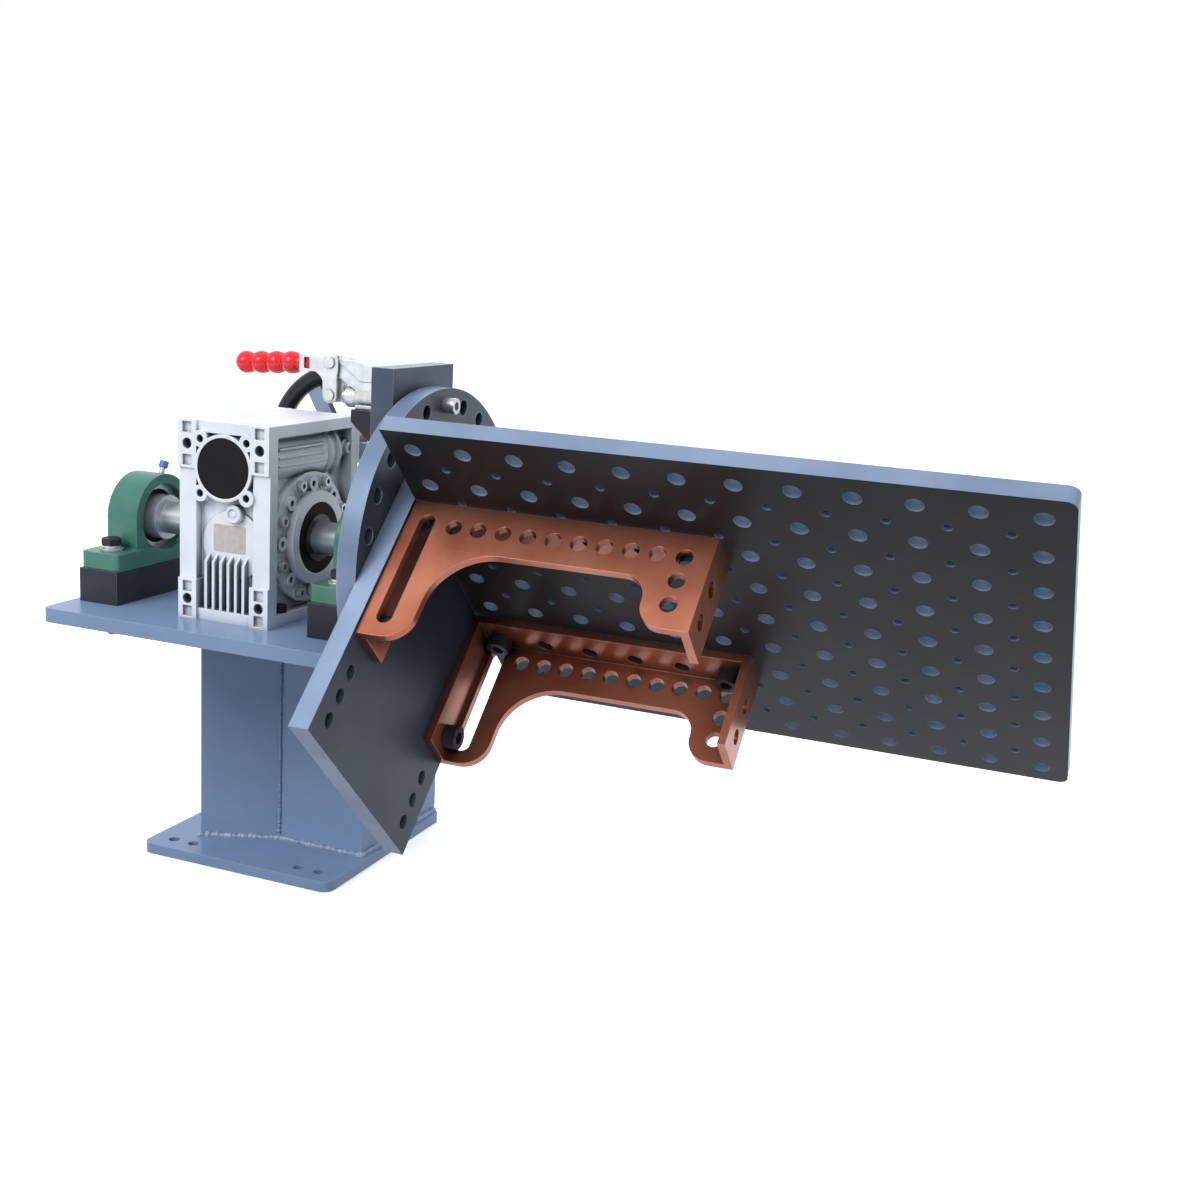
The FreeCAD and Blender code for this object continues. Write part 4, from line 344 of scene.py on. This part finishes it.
def startTree(name, inputs):
    tree = bpy.data.node_groups.new(name, "GeometryNodeTree")
    tree.interface.new_socket("Geometry", in_out="INPUT", socket_type="NodeSocketGeometry")
    for label, kind, start in inputs:
        socket = tree.interface.new_socket(label, in_out="INPUT", socket_type=kind)
        if start is not None:
            socket.default_value = start
    tree.interface.new_socket("Geometry", in_out="OUTPUT", socket_type="NodeSocketGeometry")
    return tree, addNode(tree, "NodeGroupInput").outputs


def endTree(tree, geometry, finish):
    real = addNode(tree, "GeometryNodeRealizeInstances", {"Geometry": geometry})
    painted = addNode(tree, "GeometryNodeSetMaterial", {
        "Geometry": real.outputs[0], "Material": finishes[finish]})
    addNode(tree, "NodeGroupOutput", {"Geometry": painted.outputs[0]})
    return tree


# Weld beads: overlapping drops of weld metal, broad and bare along the column's foot, thin and painted
# up its seam
welds = {
    "footRadius": 3.4, "seamRadius": 1.9, "pitch": 2.2, "unevenness": 0.4, "seed": 7,
    "baseTop": 12.0, "tableLow": 301.0, "seamX": 6.0, "boxFront": -46.0, "boxRight": 116.0, "back": 130.0,
    "wingFront": -82.0, "wingX": -80.0, "seamY": -44.0,
}


def makeWeldTree(finish):
    tree, given = startTree("weldBead", [
        ("Radius", "NodeSocketFloat", 0.004), ("Pitch", "NodeSocketFloat", 0.003),
        ("Unevenness", "NodeSocketFloat", 0.3), ("Seed", "NodeSocketInt", 1)])
    line = addNode(tree, "GeometryNodeMeshToCurve", {"Mesh": given["Geometry"]})
    drops = addNode(tree, "GeometryNodeResampleCurve", {"Curve": line.outputs[0], "Length": given["Pitch"]},
                    mode="LENGTH")
    drop = addNode(tree, "GeometryNodeMeshIcoSphere", {"Radius": given["Radius"], "Subdivisions": 2})
    low = joinNumbers(tree, "SUBTRACT", 1.0, given["Unevenness"])
    high = joinNumbers(tree, "ADD", 1.0, given["Unevenness"])
    size = addNode(tree, "FunctionNodeRandomValue", {
        2: low, 3: high, "Seed": given["Seed"]}, data_type="FLOAT")
    put = addNode(tree, "GeometryNodeInstanceOnPoints", {
        "Points": drops.outputs[0], "Instance": drop.outputs[0], "Scale": size.outputs[1]})
    return endTree(tree, put.outputs[0], finish)


def makeWelds():
    w = welds
    foot = w["baseTop"] + 1
    seam = [(w["seamX"] - 1, w["seamY"] - 3, foot), (w["seamX"] - 1, w["seamY"] - 3, w["tableLow"] - 2)]
    footLine = [(w["wingX"], w["wingFront"] - 1, foot), (w["seamX"], w["seamY"] - 2, foot),
                (w["boxRight"], w["boxFront"] - 1, foot), (w["boxRight"] + 1, w["back"] - 4, foot),
                (w["wingX"] - 1, w["wingFront"], foot), (w["wingX"] - 1, w["back"] - 4, foot)]
    runs = [("columnSeamBead", seam, [(0, 1)], w["seamRadius"], "enamelOnSteelSprayed", []),
            ("columnFootBeads", footLine, [(0, 1), (1, 2), (2, 3), (4, 5)], w["footRadius"],
             "weldMetalPainted", ["column_welds"])]
    for name, spots, edges, radius, finish, standsFor in runs:
        mesh = growMesh(name, spots, edges, makeWeldTree(finish), {
            "Radius": radius * mm, "Pitch": w["pitch"] * mm, "Unevenness": w["unevenness"],
            "Seed": w["seed"]})
        mesh.shade_smooth()
        keepPiece(name, mesh, finish, "stand", standsFor)


makeWelds()
print("weld beads laid")


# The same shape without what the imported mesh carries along, smooth but for its real edges
def plainMesh(name, mesh, sharpFrom=28):
    plain = bpy.data.meshes.new(name)
    plain.from_pydata([v.co for v in mesh.vertices], [], [list(face.vertices) for face in mesh.polygons])
    shape = bmesh.new()
    shape.from_mesh(plain)
    bmesh.ops.remove_doubles(shape, verts=shape.verts, dist=0.002 * mm)
    bmesh.ops.recalc_face_normals(shape, faces=shape.faces)
    shape.to_mesh(plain)
    shape.free()
    plain.shade_smooth()
    plain.set_sharp_from_angle(angle=math.radians(sharpFrom))
    return plain


# Clamping squares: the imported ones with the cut-out's corners swept as wide as the real ones
fixtureBody = "spindle"
squares = {
    "fixtureX": 275.0, "face": -17.7, "long": 300.0, "strip": 50.0, "leg": 150.0, "endLeg": 100.0,
    "thick": 8.0, "sweep": 56.0, "corner": 24.0, "legTip": 27.0, "arcSteps": 14, "flush": 0.02,
    "fillBack": 1.0, "cutBack": 3.0, "cutOver": 1.0, "outer": {"near": -114.0, "far": 130.0},
}


def fixtureSpot(x, sideways, outward):
    y = spindle["y"] + across * (sideways + outward)
    z = spindle["z"] + across * (outward - sideways)
    return Vector((x, y, z)) * mm


# A prism of the fixture's frame, its outline in x and outward, between two sideways planes
def makePrism(outline, low, high):
    shape = bmesh.new()
    rings = [[shape.verts.new(fixtureSpot(x, side, out)) for x, out in outline] for side in (low, high)]
    shape.faces.new(rings[0])
    shape.faces.new(rings[1])
    for i in range(len(outline)):
        j = (i + 1) % len(outline)
        shape.faces.new((rings[0][i], rings[0][j], rings[1][j], rings[1][i]))
    bmesh.ops.recalc_face_normals(shape, faces=shape.faces)
    mesh = bpy.data.meshes.new("prism")
    shape.to_mesh(mesh)
    shape.free()
    return mesh


# The wedge between a corner and its arc: along runs from the corner, both of length reach
def cornerWedge(corner, alongA, alongB, reach, back, steps):
    centre = [corner[k] + (alongA[k] + alongB[k]) * reach for k in (0, 1)]
    points = []
    for i in range(steps + 1):
        turn = math.pi / 2 * i / steps
        points.append([centre[k] - reach * (math.cos(turn) * alongB[k] + math.sin(turn) * alongA[k])
                       for k in (0, 1)])
    outside = [[points[-1][k] - back * alongA[k] for k in (0, 1)],
               [corner[k] - back * (alongA[k] + alongB[k]) for k in (0, 1)],
               [points[0][k] - back * alongB[k] for k in (0, 1)]]
    return points + outside


def combine(mesh, other, how):
    carrier = bpy.data.objects.new("combineCarrier", mesh)
    tool = bpy.data.objects.new("combineTool", other)
    for held in (carrier, tool):
        bpy.context.scene.collection.objects.link(held)
    step = carrier.modifiers.new("Combine", "BOOLEAN")
    step.object, step.operation, step.solver = tool, how, "EXACT"
    graph = bpy.context.evaluated_depsgraph_get()
    made = bpy.data.meshes.new_from_object(carrier.evaluated_get(graph))
    carrier.modifiers.remove(step)
    bpy.data.objects.remove(carrier)
    bpy.data.objects.remove(tool)
    return made


def makeSquare(side):
    s = squares
    outer = s["outer"][side]
    inner = outer + s["thick"] * (1 if side == "near" else -1)
    low, high = sorted((outer, inner))
    end = s["fixtureX"] + s["long"]
    strip = s["face"] - s["strip"]
    legX = s["fixtureX"] + s["strip"]
    mesh = nodes["clamping_square_" + side].data.copy()
    fills = [((legX, strip), (1, 0), (0, -1), s["sweep"]),
             ((end - s["strip"], strip), (-1, 0), (0, -1), s["corner"])]
    cuts = [((legX, s["face"] - s["leg"]), (-1, 0), (0, 1), s["legTip"]),
            ((end - s["strip"], s["face"] - s["endLeg"]), (1, 0), (0, 1), s["corner"])]
    for corner, alongA, alongB, reach in fills:
        outline = cornerWedge(corner, alongA, alongB, reach, s["fillBack"], s["arcSteps"])
        mesh = combine(mesh, makePrism(outline, low + s["flush"], high - s["flush"]), "UNION")
    for corner, alongA, alongB, reach in cuts:
        outline = cornerWedge(corner, alongA, alongB, reach, s["cutBack"], s["arcSteps"])
        mesh = combine(mesh, makePrism(outline, low - s["cutOver"], high + s["cutOver"]), "DIFFERENCE")
    mesh = plainMesh(side + "SquareSwept", mesh)
    keepPiece(side + "SquareSwept", mesh, "steelCopperFinish", fixtureBody,
              ["clamping_square_" + side])


for side in squares["outer"]:
    makeSquare(side)
print("clamping squares swept")


# Points of an outline whose corners are rounded: each corner is (x, z, radius)
def roundOutline(corners, steps=7):
    points = []
    for i, (x, z, radius) in enumerate(corners):
        here = Vector((x, z))
        before = Vector(corners[i - 1][:2]) - here
        after = Vector(corners[(i + 1) % len(corners)][:2]) - here
        if radius == 0:
            points.append(tuple(here))
            continue
        half = before.angle(after) / 2
        reach = min(radius / math.tan(half), 0.49 * before.length, 0.49 * after.length)
        swing = reach * math.tan(half)
        centre = here + (before.normalized() + after.normalized()).normalized() * math.hypot(reach, swing)
        start = here + before.normalized() * reach - centre
        stop = here + after.normalized() * reach - centre
        sweep = start.angle_signed(stop)
        for k in range(steps + 1):
            turn = -sweep * k / steps
            points.append((centre.x + start.x * math.cos(turn) - start.y * math.sin(turn),
                           centre.y + start.x * math.sin(turn) + start.y * math.cos(turn)))
    return points


# A pressed or sawn plate standing in the XZ plane, from low towards the back, with softened edges
def makePlate(outline, low, thick, holes=(), soften=0.5):
    flat = bpy.data.curves.new("plateOutline", "CURVE")
    flat.dimensions = "2D"
    flat.fill_mode = "BOTH"
    flat.extrude = (thick / 2 - soften) * mm
    flat.bevel_depth = soften * mm
    flat.bevel_resolution = 1
    flat.offset = -soften * mm
    for run in [outline, *holes]:
        spline = flat.splines.new("POLY")
        spline.points.add(len(run) - 1)
        for point, (x, z) in zip(spline.points, run):
            point.co = (x * mm, z * mm, 0, 1)
        spline.use_cyclic_u = True
    holder = bpy.data.objects.new("plateHolder", flat)
    bpy.context.scene.collection.objects.link(holder)
    graph = bpy.context.evaluated_depsgraph_get()
    mesh = bpy.data.meshes.new_from_object(holder.evaluated_get(graph))
    bpy.data.objects.remove(holder)
    stand = Matrix(((1, 0, 0, 0), (0, 0, 1, (low + thick / 2) * mm), (0, 1, 0, 0), (0, 0, 0, 1)))
    mesh.transform(stand)
    return mesh


# A turned form: profile of (along, radius), about an axis through start in the given direction
def makeTurned(profile, start, direction, segments=48, flatten=1.0):
    shape = bmesh.new()
    rings = []
    for along, radius in profile:
        if radius == 0:
            rings.append([shape.verts.new((0, 0, along * mm))])
        else:
            turns = [math.tau * k / segments for k in range(segments)]
            rings.append([shape.verts.new((radius * math.cos(turn) * mm,
                                           radius * flatten * math.sin(turn) * mm, along * mm))
                          for turn in turns])
    for a, b in zip(rings, rings[1:]):
        for k in range(segments):
            j = (k + 1) % segments
            corners = [a[k % len(a)], a[j % len(a)], b[j % len(b)], b[k % len(b)]]
            shape.faces.new(list(dict.fromkeys(corners)))
    bmesh.ops.recalc_face_normals(shape, faces=shape.faces)
    mesh = bpy.data.meshes.new("turned")
    shape.to_mesh(mesh)
    shape.free()
    turn = Vector(direction).to_track_quat("Z", "Y").to_matrix().to_4x4()
    mesh.transform(Matrix.Translation(Vector(start) * mm) @ turn)
    return mesh


def joinMeshes(name, meshes, sharpFrom=28):
    shape = bmesh.new()
    for mesh in meshes:
        shape.from_mesh(mesh)
    whole = bpy.data.meshes.new(name)
    shape.to_mesh(whole)
    shape.free()
    return plainMesh(name, whole, sharpFrom)


def boxOutline(x0, x1, z0, z1, radius=0):
    return roundOutline([(x0, z0, radius), (x1, z0, radius), (x1, z1, radius), (x0, z1, radius)], 4)


# Push clamp: a folded lever with a window by the grip, a four-bulb dipped grip, and two cheeks
clamp = {
    "pivot": (128.0, 583.0), "pin": (128.0, 550.0), "y": -142.5,
    "leverLeft": 92.0, "leverGap": 8.6, "leverThick": 2.5, "lobe": 8.2, "handleTop": 6.0, "handleLow": -11.2,
    "window": (-30.5, -24.0, -8.0, 3.2), "bores": 3.2,
    "cheekGap": 5.0, "cheekThick": 3.0, "blockX": 206.0,
    "guideLeft": 144.0, "guideRadius": 11.0, "plungerRadius": 7.1,
    "footLow": 539.0, "footLeft": 160.0, "footHalf": 15.0,
    "gripDrop": -3.0, "gripTilt": 4.0, "bulbs": 4, "bulbPitch": 18.4, "bulbRadius": 13.0, "bulbSteps": 12,
    "neck": 9.6, "neckLong": 5.6, "domeShare": 0.86, "gripFlat": 0.9, "gripRight": 92.0,
}


def circleOutline(x, z, radius, steps=28):
    turns = [math.tau * k / steps for k in range(steps)]
    return [(x + radius * math.cos(turn), z + radius * math.sin(turn)) for turn in turns]


def makeClamp():
    c = clamp
    px, pz = c["pivot"]
    lobe = c["lobe"]
    pinDrop = c["pin"][1] - pz
    left = c["leverLeft"] - px
    side = roundOutline([
        (px + left, pz + c["handleTop"], 1.2), (px - 4, pz + 8.6, 6), (px + 9.4, pz + 8.6, 9),
        (px + 9.4, pz - 7, 6), (px + lobe, pz - 14, 5), (px + lobe, pz + pinDrop - lobe, lobe),
        (px - lobe, pz + pinDrop - lobe, lobe), (px - lobe, pz - 17, 10), (px - 17, pz - 10, 9),
        (px + left, pz + c["handleLow"], 1.2)])
    w = c["window"]
    window = boxOutline(px + w[0], px + w[1], pz + w[2], pz + w[3], 1.0)
    bores = [circleOutline(px, pz, c["bores"]), circleOutline(px, c["pin"][1], c["bores"])]
    gap, thick = c["leverGap"], c["leverThick"]
    sides = [makePlate(side, c["y"] + low, thick, [window, *bores]) for low in (-gap - thick, gap)]
    top = pz + c["handleTop"]
    back = makePlate(boxOutline(px + left + 1, px - 14, top - 2.2, top + 0.4, 0.6), c["y"] - gap, 2 * gap,
                     soften=0.3)
    mesh = joinMeshes("clampLeverFolded", sides + [back], 40)
    keepPiece("clampLeverFolded", mesh, "steelZincPlated", "lever", ["clamp_lever"])

    cheekGap, cheekThick, blockX = c["cheekGap"], c["cheekThick"], c["blockX"]
    cheek = roundOutline([
        (px - 9, pz + 3, 6), (px - 3, pz + 8.5, 5), (px + 40, pz + 6.5, 8), (blockX, pz - 6, 0),
        (blockX, c["footLow"] + 1, 0), (px + 40, c["footLow"] + 1, 2), (px + 38, c["pin"][1] + 1, 4),
        (px + 3, pz - 11, 6), (px - 8, pz - 7, 6)])
    raised = roundOutline([
        (px + 1, pz + 5.5, 3), (px + 38, pz + 3.5, 5), (blockX - 2, pz - 8, 1),
        (blockX - 2, pz - 17, 1), (px + 34, pz - 17, 4), (px + 16, pz - 4.5, 5)])
    parts = []
    for sign in (-1, 1):
        low = c["y"] + (cheekGap if sign > 0 else -cheekGap - cheekThick)
        parts.append(makePlate(cheek, low, cheekThick, [circleOutline(px, pz, c["bores"])]))
        parts.append(makePlate(raised, low + sign * 1.2, cheekThick, soften=0.9))
    r, bore, start = c["guideRadius"], c["plungerRadius"], c["guideLeft"]
    long = blockX - start
    sleeve = [(0, bore), (0, r - 1), (1, r), (9, r), (10, r - 0.8), (12, r - 0.8), (13, r), (long, r),
              (long, bore), (0, bore)]
    parts.append(makeTurned(sleeve, (start, c["y"], c["pin"][1]), (1, 0, 0)))
    foot = boxOutline(c["footLeft"], blockX, c["footLow"], c["footLow"] + 4.2, 1.2)
    parts.append(makePlate(foot, c["y"] - c["footHalf"], 2 * c["footHalf"], soften=0.6))
    mesh = joinMeshes("clampCheeksPressed", parts, 40)
    keepPiece("clampCheeksPressed", mesh, "steelZincPlated", "stand", ["clamp_body"])

    # Grip: neck, bulbs with tight waists, domed end; its tang fills the lever's window
    profile = [(0, 0), (0, c["neck"]), (5, c["neck"] + 0.4)]
    pitch, bulbRadius, steps = c["bulbPitch"], c["bulbRadius"], c["bulbSteps"]
    for bulb in range(c["bulbs"]):
        for k in range(1 if bulb else 0, steps + 1):
            share = k / steps
            if bulb == c["bulbs"] - 1 and share > 0.5:
                break
            profile.append((c["neckLong"] + pitch * (bulb + share),
                            math.sqrt(bulbRadius ** 2 - (pitch * (share - 0.5)) ** 2)))
    domeAt = profile[-1][0]
    for k in range(1, steps + 1):
        turn = math.pi / 2 * k / steps
        profile.append((domeAt + bulbRadius * c["domeShare"] * math.sin(turn),
                        bulbRadius * math.cos(turn) if k < steps else 0))
    droop = math.radians(c["gripTilt"])
    direction = (-math.cos(droop), 0, -math.sin(droop))
    grip = makeTurned(profile, (c["gripRight"], c["y"], pz + c["gripDrop"]), direction, flatten=c["gripFlat"])
    tang = makePlate(boxOutline(c["gripRight"] - 6, px + w[1] + 1.5, pz + w[2] - 0.6, pz + w[3] + 0.3, 1),
                     c["y"] - gap + 0.2, 2 * gap - 0.4, soften=0.4)
    mesh = joinMeshes("clampGripDipped", [grip, tang], 34)
    keepPiece("clampGripDipped", mesh, "vinylRedDipped", "lever", ["clamp_grip"])


makeClamp()
print("clamp built")

# Gear casting's small forms: ribbed bearing tube in each side recess, and in front a round bulge, the plug
# and a blank label
gearForms = {
    "middleX": 53.0, "recessX": 40.0, "tubeX": 19.0, "tubeZ": 484.0, "tubeRadius": 29.5, "tubeFront": -210.0,
    "ribLevels": (479.0, 487.5, 496.0), "ribThick": 2.6, "ribReach": 51.0, "ribBack": -116.0,
    "rings": ((-108.0, 32.0), (-94.0, 33.5)), "ringThick": 4.5, "tubeBack": -80.0,
    "sidePlug": (-72.5, 487.0), "faceY": -215.5,
    "bulge": (58.0, 396.0), "bulgeRadius": 36.5, "bulgeProud": 3.0,
    "plug": (63.0, 429.0), "plugRadius": 8.2, "label": (35.5, 73.5, 388.5, 416.5), "labelThick": 0.5,
}


def makeGearForms():
    g = gearForms
    for name, sign in (("right", 1), ("left", -1)):
        axisX = g["middleX"] + sign * g["tubeX"]
        profile = [(0, 0), (0, g["tubeRadius"] - 3), (3, g["tubeRadius"])]
        for at, radius in g["rings"]:
            start = at - g["tubeFront"]
            profile += [(start, g["tubeRadius"]), (start + 0.8, radius - 0.6), (start + 1.6, radius),
                        (start + g["ringThick"] - 1.6, radius), (start + g["ringThick"] - 0.8, radius - 0.6),
                        (start + g["ringThick"], g["tubeRadius"])]
        end = g["tubeBack"] - g["tubeFront"]
        profile += [(end - 3, g["tubeRadius"]), (end, g["tubeRadius"] - 3), (end, 0)]
        parts = [makeTurned(profile, (axisX, g["tubeFront"], g["tubeZ"]), (0, 1, 0), 56)]
        near, far = sorted((g["middleX"] + sign * (g["recessX"] - 6), g["middleX"] + sign * g["ribReach"]))
        halfRib = g["ribThick"] / 2
        for level in g["ribLevels"]:
            rib = roundOutline([(near, level - halfRib, 0.9), (far, level - halfRib, 0.9),
                                (far, level + halfRib, 0.9), (near, level + halfRib, 0.9)], 3)
            parts.append(makePlate(rib, g["tubeFront"] + 6, g["ribBack"] - g["tubeFront"] - 6, soften=0.7))
        plugY, plugZ = g["sidePlug"]
        sidePlug = [(0, 0), (0, 9), (7, 9), (8, 8), (8, 6.6), (12, 6.6), (13, 5.6), (13, 3.4), (10, 3.0),
                    (10, 0)]
        parts.append(makeTurned(sidePlug, (g["middleX"] + sign * (g["recessX"] - 1), plugY, plugZ),
                                (sign, 0, 0), 36))
        mesh = joinMeshes(name + "BearingTubeCast", parts, 34)
        keepPiece(name + "BearingTubeCast", mesh, "aluminiumCastSilver", "stand")

    x, z = g["bulge"]
    r, proud = g["bulgeRadius"], g["bulgeProud"]
    domed = [(-1, 0), (-1, r), (proud - 1.6, r), (proud - 0.5, r - 0.7), (proud, r - 2), (proud, 0)]
    bulge = makeTurned(domed, (x, g["faceY"], z), (0, -1, 0), 72)
    mesh = joinMeshes("frontBulgeCast", [bulge], 34)
    keepPiece("frontBulgeCast", mesh, "aluminiumCastSilver", "stand")

    x, z = g["plug"]
    r = g["plugRadius"]
    stem = [(0, 0), (0, r - 1), (5, r - 1), (5, r), (6.2, r + 0.8), (8.4, r + 0.8), (9.4, r), (9.4, r - 2.2),
            (7.4, r - 3), (7.4, 3.4), (8.6, 2.6), (8.6, 0)]
    plug = makeTurned(stem, (x, g["faceY"] - 1, z), (0, -1, 0), 40)
    mesh = joinMeshes("oilPlugTurned", [plug], 34)
    keepPiece("oilPlugTurned", mesh, "aluminiumCastSilver", "stand", ["oil_plug"])

    x0, x1, z0, z1 = g["label"]
    front = g["faceY"] - proud - g["labelThick"]
    label = makePlate(boxOutline(x0, x1, z0, z1, 1.5), front, g["labelThick"] + 0.3, soften=0.15)
    mesh = joinMeshes("blankLabel", [label], 34)
    keepPiece("blankLabel", mesh, "polyesterLabelBlank", "stand")


makeGearForms()
print("gear casting's forms built")

# Foot bolts: chamfered hexagon heads and nuts on long threaded ends, one at each foot of the bearings
bolts = {
    "spots": [(-103.0, -206.0), (-103.0, -79.0), (177.0, -206.0), (177.0, -79.0)],
    "across": 19.0, "high": 8.0, "headLow": 375.5, "nutLow": 293.0, "tip": 279.0, "shank": 5.9,
    "threadPitch": 1.75, "threadDeep": 0.6, "threadPast": 4.0, "chamfer": 0.94,
}


def makeHexagon(low):
    b = bolts
    corner = b["across"] / 2 / math.cos(math.pi / 6)
    high = b["high"]
    prism = makeTurned([(0, 0), (0, corner), (high, corner), (high, 0)], (0, 0, low), (0, 0, 1), 6)
    flat = b["across"] / 2 * b["chamfer"]
    drop = (corner - flat) * math.tan(math.radians(30))
    tapered = [(-0.5, 0), (-0.5, flat), (0, flat), (drop, corner), (high - drop, corner), (high, flat),
               (high + 0.5, flat), (high + 0.5, 0)]
    cone = makeTurned(tapered, (0, 0, low), (0, 0, 1), 48)
    return combine(prism, cone, "INTERSECT")


def makeBolts():
    b = bolts
    thread = [(0, 0), (0, b["shank"] - 1.2), (1, b["shank"] - b["threadDeep"])]
    at = 1.0
    pitch, root = b["threadPitch"], b["shank"] - b["threadDeep"]
    while at < b["nutLow"] - b["tip"] + b["high"] + b["threadPast"]:
        thread += [(at + pitch / 2, b["shank"]), (at + pitch, root)]
        at += pitch
    end = b["headLow"] + 1 - b["tip"]
    thread += [(at + 1, b["shank"]), (end, b["shank"]), (end, 0)]
    shank = makeTurned(thread, (0, 0, b["tip"]), (0, 0, 1), 32)
    one = joinMeshes("footBolt", [makeHexagon(b["headLow"]), makeHexagon(b["nutLow"]), shank], 24)
    pattern = bpy.data.objects.new("footBoltPattern", one)
    bpy.context.scene.collection.objects.link(pattern)
    tree, given = startTree("boltsAtSpots", [("Bolt", "NodeSocketObject", None)])
    shown = addNode(tree, "GeometryNodeObjectInfo", {"Object": given["Bolt"]})
    put = addNode(tree, "GeometryNodeInstanceOnPoints", {
        "Points": given["Geometry"], "Instance": shown.outputs["Geometry"]})
    endTree(tree, put.outputs[0], "steelBlackOxide")
    mesh = growMesh("footBoltsHex", [(x, y, 0) for x, y in b["spots"]], [], tree, {"Bolt": pattern})
    bpy.data.objects.remove(pattern)
    keepPiece("footBoltsHex", mesh, "steelBlackOxide", "stand", ["pillow_block_bolts"])


makeBolts()
print("foot bolts set")

# Studio: pale floor, soft lamps, the photograph's viewpoint
studio = {
    "floorColour": "#ffffff", "floorBounce": "#6f7276", "floorGlow": 0.42,
    "floorSize": 30.0, "floorLevel": -0.0005,           # in m
    "skyLight": 1.02, "horizonLight": 0.78, "groundLight": 0.34, "skyColour": "#e4edff",
    "lamps": [  # name, place in m, size in m, watts
        ("keyLamp", (-0.7, -2.4, 2.2), 1.3, 42),
        ("topLamp", (0.3, 0.1, 2.9), 2.2, 5),
        ("rightLamp", (3.0, -1.0, 1.6), 1.8, 14),
        ("backLamp", (-0.6, 2.6, 1.8), 1.8, 20),
    ],
    "aim": (0.3, -0.15, 0.35),
}
viewpoint = {"place": (0.9573, -1.4987, 0.6964), "turn": (77.5585, -3.2366, 21.9448), "lensMm": 45.867}


# 1 where the camera sees a surface itself, or in a reflection or through glass
def seenDirectly(tree):
    ray = addNode(tree, "ShaderNodeLightPath").outputs
    mirrored = joinNumbers(tree, "MAXIMUM", ray["Is Glossy Ray"], ray["Is Transmission Ray"])
    return joinNumbers(tree, "MAXIMUM", ray["Is Camera Ray"], mirrored)


def makeStudio():
    floorMesh = bpy.data.meshes.new("studioFloor")
    half = studio["floorSize"] / 2
    corners = [(-half, -half, 0), (half, -half, 0), (half, half, 0), (-half, half, 0)]
    floorMesh.from_pydata(corners, [], [(0, 1, 2, 3)])
    floor = bpy.data.objects.new("studioFloor", floorMesh)
    bpy.context.scene.collection.objects.link(floor)
    floor.location.z = studio["floorLevel"]
    paper = bpy.data.materials.new("studioPaper")
    paper.use_nodes = True
    tree = paper.node_tree
    tree.nodes.clear()
    seen = seenDirectly(tree)
    cast = blendColours(tree, seen, sRgb(studio["floorBounce"]), sRgb(studio["floorColour"]))
    sheet = addNode(tree, "ShaderNodeBsdfDiffuse", {"Color": cast})
    glowing = joinNumbers(tree, "MULTIPLY", seen, studio["floorGlow"])
    glow = addNode(tree, "ShaderNodeEmission", {"Strength": glowing})
    both = addNode(tree, "ShaderNodeAddShader", {0: sheet.outputs[0], 1: glow.outputs[0]})
    addNode(tree, "ShaderNodeOutputMaterial", {"Surface": both.outputs[0]})
    floorMesh.materials.append(paper)

    world = bpy.data.worlds.new("studioWorld")
    world.use_nodes = True
    tree = world.node_tree
    tree.nodes.clear()
    # Light falls mostly from above, little from the ground; the camera and reflections see plain white
    place = addNode(tree, "ShaderNodeTexCoord")
    height = addNode(tree, "ShaderNodeSeparateXYZ", {"Vector": place.outputs["Generated"]}).outputs["Z"]
    ground, horizon, sky = studio["groundLight"], studio["horizonLight"], studio["skyLight"]
    lower = addNode(tree, "ShaderNodeMapRange", {
        "Value": height, "From Min": -0.25, "From Max": 0.05, "To Min": ground, "To Max": horizon})
    upper = addNode(tree, "ShaderNodeMapRange", {
        "Value": height, "From Min": 0.05, "From Max": 0.6, "To Max": sky - horizon})
    fall = joinNumbers(tree, "ADD", lower.outputs[0], upper.outputs[0])
    above = addNode(tree, "ShaderNodeMapRange", {"Value": height, "From Min": 0.0, "From Max": 0.5})
    colour = blendColours(tree, above.outputs[0], sRgb("#ffffff"), sRgb(studio["skyColour"]))
    lit = addNode(tree, "ShaderNodeBackground", {"Color": colour, "Strength": fall})
    plain = addNode(tree, "ShaderNodeBackground", {"Color": (1, 1, 1, 1), "Strength": 1.0})
    either = addNode(tree, "ShaderNodeMixShader", {
        0: seenDirectly(tree), 1: lit.outputs[0], 2: plain.outputs[0]})
    addNode(tree, "ShaderNodeOutputWorld", {"Surface": either.outputs[0]})
    bpy.context.scene.world = world

    for name, place, size, watts in studio["lamps"]:
        lamp = bpy.data.lights.new(name, "AREA")
        lamp.shape = "SQUARE"
        lamp.size = size
        lamp.energy = watts
        holder = bpy.data.objects.new(name, lamp)
        holder.location = place
        holder.rotation_euler = (Vector(studio["aim"]) - Vector(place)).to_track_quat("-Z", "Y").to_euler()
        bpy.context.scene.collection.objects.link(holder)

    camera = bpy.data.objects.new("viewCamera", bpy.data.cameras.new("viewCamera"))
    camera.data.lens = viewpoint["lensMm"]
    camera.data.sensor_width = 36
    camera.data.clip_end = 60
    camera.location = viewpoint["place"]
    camera.rotation_euler = Euler([math.radians(a) for a in viewpoint["turn"]], "XYZ")
    bpy.context.scene.collection.objects.link(camera)
    bpy.context.scene.camera = camera
    bpy.context.scene.view_settings.view_transform = "Standard"


makeStudio()
print("studio set")
